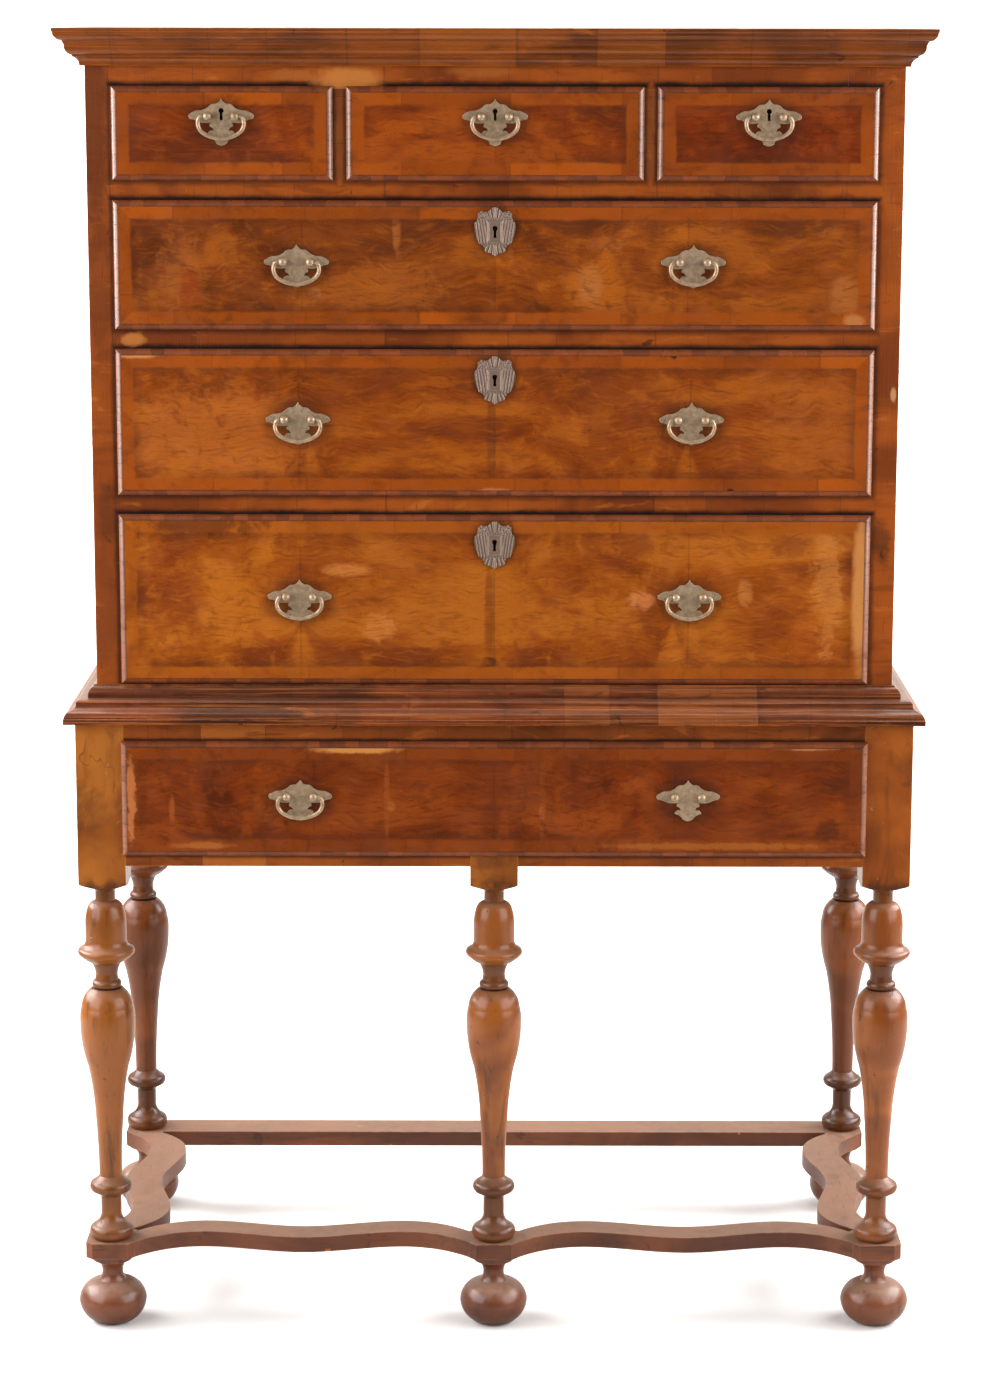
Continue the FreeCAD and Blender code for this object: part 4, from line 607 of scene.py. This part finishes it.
def drawer_finish(drawer, leaf, seed, tones, marks=(), flames=(), brasses=(), band=(168, 79, 11)):
    """The veneered front of one drawer. tones are its dark, its ground and its light. Places are measured
    from the middle of the front: marks as for marked(), flames by their tips, and brasses by their middles
    and how far the dirt round them reaches. band is the tone of the border."""
    material, bench, place, shader = new_finish(f"{drawer} veneer")
    low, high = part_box(f"{drawer}_front")
    middle = (low + high) / 2
    half = (high - low) / 2
    dark, ground, light = (tint(*shade) for shade in tones)
    shifted = bench.vector("SUBTRACT", place, (middle.x, 0.0, 0.0))
    figure = bench.effect("Figure", Place=shifted, Leaf=leaf, Seed=seed, Curl=0.3)
    colour = bench.wash(ground, figure["Clouds"], 0.49, 0.6, 1.0, light)
    colour = bench.wash(colour, figure["Clouds"], 0.48, 0.37, 0.9, dark)
    colour = bench.wash(colour, figure["Leaf tone"], 0.0, 1.0, 0.25, dark)
    for right, up in flames:
        flame = bench.effect("Flame", Place=place, Tip=(middle.x + right, 0.0, middle.z + up), Seed=seed)
        colour = bench.stain(colour, flame["Dark"], 0.5, dark)
        colour = bench.stain(colour, flame["Pale"], 0.6, light)
    outer = [mark for mark in marks
             if abs(mark[0]) > half.x - edge_wide or abs(mark[1]) > half.z - edge_tall]
    inner = [mark for mark in marks if mark not in outer]
    colour = marked(bench, colour, place, inner, middle.x, middle.z)
    colour = bench.wash(colour, figure["Mottle"], 0.52, 0.68, 0.5, light)
    colour = bench.wash(colour, figure["Mottle"], 0.48, 0.3, 0.55, dark)
    colour = bench.wash(colour, figure["Curls"], 0.5, 0.7, 0.35, light)
    colour = bench.wash(colour, figure["Curls"], 0.5, 0.28, 0.6, dark)
    colour = bench.wash(colour, figure["Fibre"], 0.5, 0.25, 0.45, tint(70, 30, 8))
    colour = bench.stain(colour, figure["Pores"], 0.25, tint(58, 26, 8))
    colour = bench.stain(colour, figure["Seam"], 0.3, tint(64, 28, 10))

    # the band of cross-laid veneer, worn and faded, and the darker line of old wax inside it
    border = bench.effect("Border", Place=place, Middle=(middle.x, 0.0, middle.z),
                          Half=(half.x, 1.0, half.z))
    edge = {"Along": border["Along"], "Across": border["Inset"]}
    strip = bench.effect("Veneer pieces", Length=0.12, Seed=seed, **edge)
    wander = bench.times(bench.noise(place, 32.0, 4.0, 0.65), wander_wide)
    inset = bench.plus(border["Inset"], wander)
    band_end = lip_wide + band_wide + wander_wide / 2
    old_wax = bench.times(bench.ease(inset, band_end + 0.016, band_end),
                          bench.ease(figure["Clouds"], 0.65, 0.4, 0.15, 0.6))
    colour = bench.blend(old_wax, colour, tint(86, 38, 12))
    banding = bench.blend(bench.ease(strip["Tone"], 0.0, 1.0, 0.0, 0.35), tint(*band), dark)
    banding = bench.wash(banding, figure["Mottle"], 0.5, 0.3, 0.5, dark)
    banding = bench.stain(banding, strip["Joint"], 0.3, tint(60, 28, 10))
    faded = bench.ease(bench.noise(place, 11.0, 3.0, 0.6), 0.3, 0.6, 0.45, 0.95)
    in_band = bench.times(bench.ease(inset, band_end + 0.0035, band_end - 0.0005), faded)
    colour = bench.blend(in_band, colour, banding)
    colour = marked(bench, colour, place, outer, middle.x, middle.z)

    # the thumb moulding, cut across the grain and cracked, its upright sides painted pale as a highlight, and
    # a painted shade line in the quirk along its inner side
    cracks = bench.effect("Veneer pieces", Length=0.016, Seed=seed + 1.0, **edge)
    lip = bench.blend(cracks["Tone"], tint(104, 48, 18), tint(140, 68, 26))
    # the upright lips are painted pale: a painted highlight where the side lights catch their rounded edge
    lip = bench.stain(lip, border["Upright"], 0.6, tint(176, 128, 104))
    lip = bench.wash(lip, figure["Mottle"], 0.5, 0.3, 0.5, tint(72, 34, 16))
    lip = bench.stain(lip, cracks["Joint"], 0.8, tint(30, 15, 8))
    on_lip = bench.ease(border["Inset"], lip_wide + 0.0003, lip_wide - 0.0003)
    on_upright = bench.times(on_lip, border["Upright"])
    colour = bench.blend(on_lip, colour, lip)
    # a dark line painted in the quirk beside the lip: painted shade in that step
    quirk_shade = bench.ease(bench.math("ABSOLUTE", bench.minus(border["Inset"], lip_wide)), 0.0009, 0.0002)
    colour = bench.stain(colour, quirk_shade, 0.45, tint(44, 20, 10))
    worn = bench.effect("Rubbed edges", Place=place, Width=0.0012)["Rubbed"]
    colour = bench.stain(colour, worn, 0.25, tint(190, 116, 58))

    # dirt left round the brasses, where no cloth reaches
    halos = [(*brass, 0.4, 0.6, (56, 26, 12)) for brass in brasses]
    colour = marked(bench, colour, place, halos, middle.x, middle.z)

    # bare pine behind the veneer
    bare = bench.effect("Grain", Place=place, Stretch=(6.0, 60.0, 60.0), Seed=seed)
    pine = bench.blend(bare["Fibre"], tint(112, 78, 46), tint(160, 120, 76))
    pine_face = high.y - pine_deep
    behind = bench.ease(bench.split(place)["Y"], pine_face - 0.0002, pine_face + 0.0002)
    colour = bench.blend(behind, colour, pine)
    gloss = bench.ease(bench.noise(place, 30.0, 4.0, 0.6), 0.3, 0.7, 0.24, 0.36)
    gloss = bench.minus(bench.plus(gloss, bench.times(on_lip, 0.22)), bench.times(on_upright, 0.3))
    height = bench.plus(bench.times(figure["Fibre"], 0.3), bench.times(bench.noise(place, 22.0, 3.0), 2.0))
    height = bench.minus(height, bench.times(bench.times(cracks["Joint"], on_lip), 1.5))
    waxed(bench, shader, colour, gloss, height, 0.0004, bench.ease(on_upright, 0.0, 1.0, 0.06, 1.0))
    lay_on(material, f"{drawer}_front")


dark_tones = ((92, 34, 5), (138, 57, 7), (164, 76, 13))
brown_tones = ((92, 40, 7), (136, 63, 9), (170, 88, 18))
amber_tones = ((108, 45, 6), (146, 67, 8), (176, 92, 18))
gold_tones = ((118, 50, 7), (156, 76, 11), (184, 102, 24))
red_tones = ((82, 30, 4), (128, 47, 6), (150, 64, 10))
stand_tones = ((80, 30, 4), (122, 49, 6), (146, 66, 12))
small_brass = [(0.0, 0.013, 0.044, 0.034)]
long_brasses = [(-0.226, -0.001, 0.046, 0.034), (0.226, -0.001, 0.046, 0.034)]

drawer_finish("small_drawer_left", 0.13, 2.0, dark_tones, brasses=small_brass)
drawer_finish("small_drawer_middle", 0.17, 4.0, dark_tones, brasses=small_brass)
drawer_finish("small_drawer_right", 0.13, 6.0, red_tones, brasses=small_brass)
drawer_finish("second_drawer", 0.22, 8.0, brown_tones,
              brasses=long_brasses + [(0.0, 0.040, 0.032, 0.036)], marks=[
    (0.108, -0.021, 0.018, 0.026, 0.7, 0.75, (182, 108, 50)),
    (0.125, 0.025, 0.026, 0.010, 0.9, 0.5, (176, 98, 42)),
    (0.100, 0.048, 0.050, 0.014, 1.3, 0.6, (84, 40, 14)),
    (0.337, 0.046, 0.060, 0.016, 1.3, 0.6, (84, 40, 14)),
    (-0.356, -0.010, 0.034, 0.046, 1.3, 0.5, (172, 94, 38)),
    (-0.347, -0.027, 0.014, 0.030, 1.4, 0.65, (138, 50, 12)),
    (-0.112, 0.040, 0.006, 0.028, 0.6, 0.6, (182, 104, 44)),
    (-0.132, -0.027, 0.080, 0.040, 1.2, 0.5, (176, 94, 30)),
    (-0.206, -0.031, 0.009, 0.008, 0.5, 0.6, (196, 114, 54)),
    (0.400, -0.036, 0.024, 0.030, 0.9, 0.5, (172, 102, 52)),
    (0.410, -0.062, 0.014, 0.010, 0.5, 0.8, (184, 118, 66)),
    (-0.405, 0.000, 0.014, 0.070, 0.8, 0.4, (96, 44, 16)),
])
drawer_finish("third_drawer", 0.225, 10.0, amber_tones, flames=[(-0.211, -0.018), (0.221, -0.018)],
              brasses=long_brasses + [(0.0, 0.054, 0.032, 0.036)], marks=[
    (-0.321, -0.019, 0.140, 0.068, 1.0, 0.7, (182, 98, 34)),
    (0.383, -0.008, 0.090, 0.076, 1.0, 0.5, (174, 92, 30)),
    (0.150, 0.028, 0.080, 0.056, 1.2, 0.5, (126, 56, 14)),
    (-0.004, -0.010, 0.006, 0.080, 0.5, 0.5, (92, 42, 14)),
    (-0.410, 0.079, 0.028, 0.006, 0.8, 0.85, (206, 138, 78)),
    (0.205, 0.079, 0.005, 0.006, 0.6, 0.9, (40, 20, 10)),
    (0.272, -0.078, 0.005, 0.004, 0.5, 0.9, (50, 24, 12)),
    (0.000, -0.079, 0.024, 0.005, 0.8, 0.7, (190, 116, 74)),
])
drawer_finish("bottom_drawer", 0.225, 12.0, gold_tones, flames=[(-0.223, -0.024), (0.207, -0.024)],
              brasses=long_brasses + [(0.0, 0.069, 0.032, 0.036)], band=(176, 90, 15), marks=[
    (-0.338, 0.088, 0.080, 0.014, 1.6, 0.65, (84, 38, 14)),
    (-0.378, 0.015, 0.030, 0.080, 1.8, 0.5, (134, 56, 18)),
    (-0.172, 0.036, 0.034, 0.009, 0.9, 0.6, (208, 128, 58)),
    (-0.135, -0.032, 0.022, 0.022, 1.3, 0.55, (206, 126, 58)),
    (-0.006, -0.014, 0.007, 0.070, 0.8, 0.55, (98, 44, 12)),
    (-0.006, -0.074, 0.011, 0.010, 0.8, 0.8, (58, 26, 10)),
    (0.157, 0.066, 0.030, 0.026, 1.2, 0.6, (118, 46, 14)),
    (0.171, 0.000, 0.018, 0.012, 1.1, 0.65, (212, 130, 72)),
    (0.291, 0.010, 0.010, 0.022, 0.8, 0.45, (206, 132, 66)),
    (0.342, 0.066, 0.034, 0.014, 1.4, 0.5, (112, 46, 14)),
    (0.372, -0.044, 0.028, 0.060, 0.9, 0.5, (170, 80, 16)),
    (0.424, 0.010, 0.011, 0.110, 0.5, 0.7, (206, 142, 78)),
    (0.386, 0.016, 0.020, 0.092, 1.8, 0.55, (200, 126, 56)),
])
drawer_finish("stand_drawer", 0.21, 14.0, stand_tones, brasses=long_brasses, band=(138, 62, 11), marks=[
    (-0.125, 0.000, 0.004, 0.070, 0.4, 0.5, (158, 80, 30)),
    (0.056, 0.000, 0.004, 0.070, 0.4, 0.5, (156, 78, 28)),
    (-0.159, 0.061, 0.056, 0.007, 0.8, 0.9, (206, 138, 70)),
    (0.367, 0.064, 0.050, 0.005, 0.9, 0.8, (190, 126, 74)),
    (-0.424, 0.000, 0.007, 0.055, 1.8, 0.75, (198, 118, 66)),
    (-0.120, -0.008, 0.006, 0.008, 0.8, 0.7, (176, 98, 44)),
    (0.056, -0.014, 0.006, 0.010, 0.8, 0.6, (176, 98, 44)),
    (-0.376, -0.012, 0.004, 0.020, 0.5, 0.5, (176, 96, 44)),
    (-0.340, -0.055, 0.042, 0.005, 1.0, 0.7, (172, 100, 40)),
    (0.260, -0.055, 0.150, 0.005, 1.2, 0.6, (168, 96, 36)),
    (0.390, -0.037, 0.016, 0.018, 1.0, 0.7, (76, 34, 10)),
    (0.030, 0.010, 0.070, 0.045, 1.5, 0.5, (104, 44, 12)),
])


# ---- Locks -----------------------------------------------------------------------------------------------
# An iron bolt in each of the six locks, which slides up into the rail above its drawer. The smith filed
# it bright, and it has darkened with oil since.

iron, bench, place, shader = new_finish("lock iron")
scale = bench.noise(place, 380.0, 4.0, 0.6)
bench.wire(bench.blend(scale, tint(62, 56, 52), tint(112, 104, 98)), shader.inputs["Base Color"])
bench.wire(bench.ease(scale, 0.3, 0.7, 0.55, 0.38), shader.inputs["Roughness"])
shader.inputs["Metallic"].default_value = 0.9
relief = bench.node("ShaderNodeBump", {"Height": scale, "Distance": 0.0002})
bench.wire(relief.outputs["Normal"], shader.inputs["Normal"])
for drawer in case_drawers:
    lay_on(iron, f"{drawer}_lock_bolt")


# ---- Handles ---------------------------------------------------------------------------------------------
# Cast brass: a batwing back plate, two posts driven into the front, and a drop bail that hangs between
# them. None of it has been polished for years, so it is a dull khaki, darker in the corners.

# casting: the relief of a cast escutcheon, as a frame round the keyhole, ribs beside it, scrolls at its
# upper corners, and flutes that fan out above and below. The rates set how close together they lie.
frame_half_wide, frame_half_tall = 0.0075, 0.0115
scroll_right, scroll_up = 0.0148, 0.0180
rib_rate, scroll_rate, flute_rate = 1900.0, 2300.0, 34.0
bench, given, result = new_effect(
    "Casting", {"Place": VECTOR, "Middle": VECTOR}, {"Relief": FLOAT, "Hollow": FLOAT})
offset = bench.vector("SUBTRACT", given["Place"], given["Middle"])
out = bench.split(bench.node("ShaderNodeVectorMath", {0: offset}, operation="ABSOLUTE").outputs[0])
up = bench.split(offset)["Z"]
from_frame = bench.math("MAXIMUM", bench.minus(out["X"], frame_half_wide),
                        bench.minus(out["Z"], frame_half_tall))
moulded = bench.ease(bench.math("ABSOLUTE", from_frame), 0.0013, 0.0003)
outside = bench.ease(from_frame, 0.0016, 0.0022)
ribs = bench.math("SINE", bench.times(bench.minus(out["X"], bench.times(up, 0.15)), rib_rate))
ribs = bench.times(bench.ease(ribs, -0.6, 0.8), bench.ease(out["Z"], 0.017, 0.012))
scroll_place = bench.join(bench.minus(out["X"], scroll_right), 0.0, bench.minus(up, scroll_up))
from_scroll = bench.node("ShaderNodeVectorMath", {0: scroll_place}, operation="LENGTH").outputs["Value"]
scrolls = bench.ease(bench.math("SINE", bench.times(from_scroll, scroll_rate)), -0.5, 0.8)
scrolls = bench.times(scrolls, bench.ease(from_scroll, 0.0095, 0.007))
fan = bench.math("DIVIDE", out["X"], bench.plus(out["Z"], 0.004))
flutes = bench.math("SINE", bench.times(fan, flute_rate))
flutes = bench.times(bench.ease(flutes, -0.6, 0.8), bench.ease(out["Z"], 0.0135, 0.0165))
carved = bench.times(bench.math("MAXIMUM", bench.math("MAXIMUM", ribs, scrolls), flutes), outside)
relief = bench.math("MAXIMUM", moulded, bench.times(carved, 0.8))
bench.wire(relief, result.inputs["Relief"])
bench.wire(bench.times(outside, bench.ease(relief, 0.55, 0.1)), result.inputs["Hollow"])


# an escutcheon hangs this far below the front's upper edge, is this tall from its middle, and is cast here
below_edge, plate_half_tall, cast_half = 0.003, 0.03175, (0.026, 1.0, 0.0295)


def brass_finish(name, escutcheon=None):
    """Dull brass with soft edges. escutcheon is the middle of a cast escutcheon, where there is one."""
    material, bench, place, shader = new_finish(name)
    mottle = bench.noise(place, 160.0, 5.0, 0.65, 0.4)
    fine = bench.noise(place, 900.0, 3.0, 0.6)
    age = bench.effect("Age", Place=place, Reach=0.005, Dust=0.0)
    worn = bench.effect("Rubbed edges", Place=place, Width=0.0008)["Rubbed"]
    colour = bench.blend(bench.ease(mottle, 0.3, 0.7), tint(156, 130, 102), tint(200, 174, 142))
    colour = bench.stain(colour, worn, 0.35, tint(214, 194, 166))
    colour = bench.stain(colour, age["Grime and shade"], 0.9, tint(44, 32, 22))
    height = bench.plus(bench.times(mottle, 0.25), bench.times(fine, 0.1))
    if escutcheon:
        casting = bench.effect("Casting", Place=bench.stretch(place, (1.0, 0.0, 1.0)), Middle=escutcheon)
        near = bench.effect("Border", Place=place, Middle=escutcheon, Half=cast_half)["Inset"]
        here = bench.math("GREATER_THAN", near, 0.0)
        hollow = bench.times(casting["Hollow"], here)
        raised = bench.times(casting["Relief"], here)
        colour = bench.stain(colour, here, 0.8, tint(132, 108, 96))
        colour = bench.stain(colour, hollow, 0.6, tint(70, 54, 44))
        colour = bench.stain(colour, raised, 0.3, tint(176, 156, 144))
        height = bench.plus(height, bench.times(raised, 2.2))
    bench.wire(colour, shader.inputs["Base Color"])
    shader.inputs["Metallic"].default_value = 0.5
    bench.wire(bench.ease(mottle, 0.3, 0.7, 0.5, 0.38), shader.inputs["Roughness"])
    soft_edges = bench.node("ShaderNodeBevel", {"Radius": 0.0006}, samples=6).outputs[0]
    relief = bench.node("ShaderNodeBump", {"Height": height, "Distance": 0.0004, "Normal": soft_edges})
    bench.wire(relief.outputs["Normal"], shader.inputs["Normal"])
    return material


brass = brass_finish("old brass")
for drawer in all_drawers:
    lay_on(brass, f"{drawer}_fittings")
for drawer in long_drawers:
    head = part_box(f"{drawer}_front")[1].z - below_edge
    lay_on(brass_finish(f"{drawer} cast brass", (0.0, 0.0, head - plate_half_tall)), f"{drawer}_fittings")
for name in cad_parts:
    if name.endswith("_bail"):
        lay_on(brass, name)


# ---- Room ------------------------------------------------------------------------------------------------
# A pale floor that sweeps up behind the chest, two large panels in front, two smaller ones beside it, soft
# light from above and on the sweep, and a camera level with the chest's top. From behind, the sweep is clear.

floor_mesh = bpy.data.meshes.new("floor")
floor_wide, floor_near, sweep_start, sweep_radius, wall_top, sweep_steps = 9.0, -1.3, 3.2, 1.6, 6.5, 24
outline = [(floor_near, 0.0)]
for number in range(sweep_steps + 1):
    turn = math.pi / 2 * number / sweep_steps
    outline.append((sweep_start + sweep_radius * math.sin(turn), sweep_radius * (1 - math.cos(turn))))
outline.append((sweep_start + sweep_radius, wall_top))
corners = [(side * floor_wide, y, z) for y, z in outline for side in (-1, 1)]
faces = [(2 * i, 2 * i + 1, 2 * i + 3, 2 * i + 2) for i in range(len(outline) - 1)]
floor_mesh.from_pydata(corners, [], faces)
floor_mesh.shade_smooth()
floor_paint, bench, place, shader = new_finish("pale floor")
speckle = bench.noise(place, 3.0, 3.0, 0.6)
paint = bench.blend(speckle, tint(238, 237, 235), tint(243, 242, 240))
looked_at = bench.node("ShaderNodeLightPath").outputs["Is Camera Ray"]
bench.wire(bench.blend(looked_at, tint(190, 186, 180), paint), shader.inputs["Base Color"])
shader.inputs["Roughness"].default_value = 0.9
shader.inputs["Specular IOR Level"].default_value = 0.1
see_through = bench.node("ShaderNodeBsdfTransparent")
from_behind = bench.node("ShaderNodeMixShader")
bench.wire(bench.node("ShaderNodeNewGeometry").outputs["Backfacing"], from_behind.inputs[0])
bench.wire(shader.outputs["BSDF"], from_behind.inputs[1])
bench.wire(see_through.outputs["BSDF"], from_behind.inputs[2])
bench.wire(from_behind.outputs["Shader"], floor_paint.node_tree.nodes["Material Output"].inputs["Surface"])
floor_mesh.materials.append(floor_paint)
floor = bpy.data.objects.new("floor", floor_mesh)
bpy.context.scene.collection.objects.link(floor)


def soft_light(name, place, aim, wide, tall, watts, shade=(1.0, 1.0, 1.0), spread=180):
    lamp = bpy.data.lights.new(name, "AREA")
    lamp.shape = "RECTANGLE"
    lamp.size = wide
    lamp.size_y = tall
    lamp.energy = watts
    lamp.color = shade
    lamp.spread = math.radians(spread)
    light = bpy.data.objects.new(name, lamp)
    light.location = place
    light.rotation_euler = (Vector(aim) - Vector(place)).to_track_quat("-Z", "Y").to_euler()
    bpy.context.scene.collection.objects.link(light)


soft_light("left panel", (-2.25, -1.45, 1.65), (0.0, -0.2, 1.1), 2.3, 2.3, 75, (1.0, 0.98, 0.98))
soft_light("right panel", (2.25, -1.45, 1.65), (0.0, -0.2, 1.1), 2.3, 2.3, 71, (1.0, 0.98, 0.98))
soft_light("left side light", (-2.3, 0.5, 1.85), (0.0, 0.1, 1.4), 2.0, 1.7, 135, (0.97, 0.97, 1.0))
soft_light("right side light", (2.3, 0.5, 1.85), (0.0, 0.1, 1.4), 2.0, 1.7, 120, (0.97, 0.97, 1.0))
soft_light("overhead", (0.0, 0.9, 4.3), (0.0, 0.6, 0.0), 4.6, 3.0, 90, (1.0, 1.0, 1.0), 110)
soft_light("backdrop light", (0.0, 1.6, 3.4), (0.0, 4.8, 1.2), 5.0, 1.2, 215, (1.0, 1.0, 1.0), 120)

world = bpy.data.worlds.new("studio")
world.use_nodes = True
world.node_tree.nodes["Background"].inputs["Color"].default_value = (1.0, 0.98, 0.95, 1.0)
seen = world.node_tree.nodes.new("ShaderNodeLightPath")
glow = world.node_tree.nodes.new("ShaderNodeMapRange")
glow.inputs["To Min"].default_value = 0.1
glow.inputs["To Max"].default_value = 0.95
world.node_tree.links.new(seen.outputs["Is Camera Ray"], glow.inputs["Value"])
world.node_tree.links.new(glow.outputs["Result"], world.node_tree.nodes["Background"].inputs["Strength"])
bpy.context.scene.world = world
bpy.context.scene.view_settings.view_transform = "Standard"

lens = bpy.data.cameras.new("camera")
lens.sensor_fit = "VERTICAL"
lens.sensor_height = 36.0
lens.lens = 90.35
camera = bpy.data.objects.new("camera", lens)
camera.location = (0.0066, -4.213, 1.547)
look_down, roll = 10.97, 0.1
tilt = Matrix.Rotation(math.radians(90 - look_down), 3, "X")
camera.rotation_euler = (tilt @ Matrix.Rotation(math.radians(roll), 3, "Z")).to_euler()
bpy.context.scene.collection.objects.link(camera)
bpy.context.scene.camera = camera
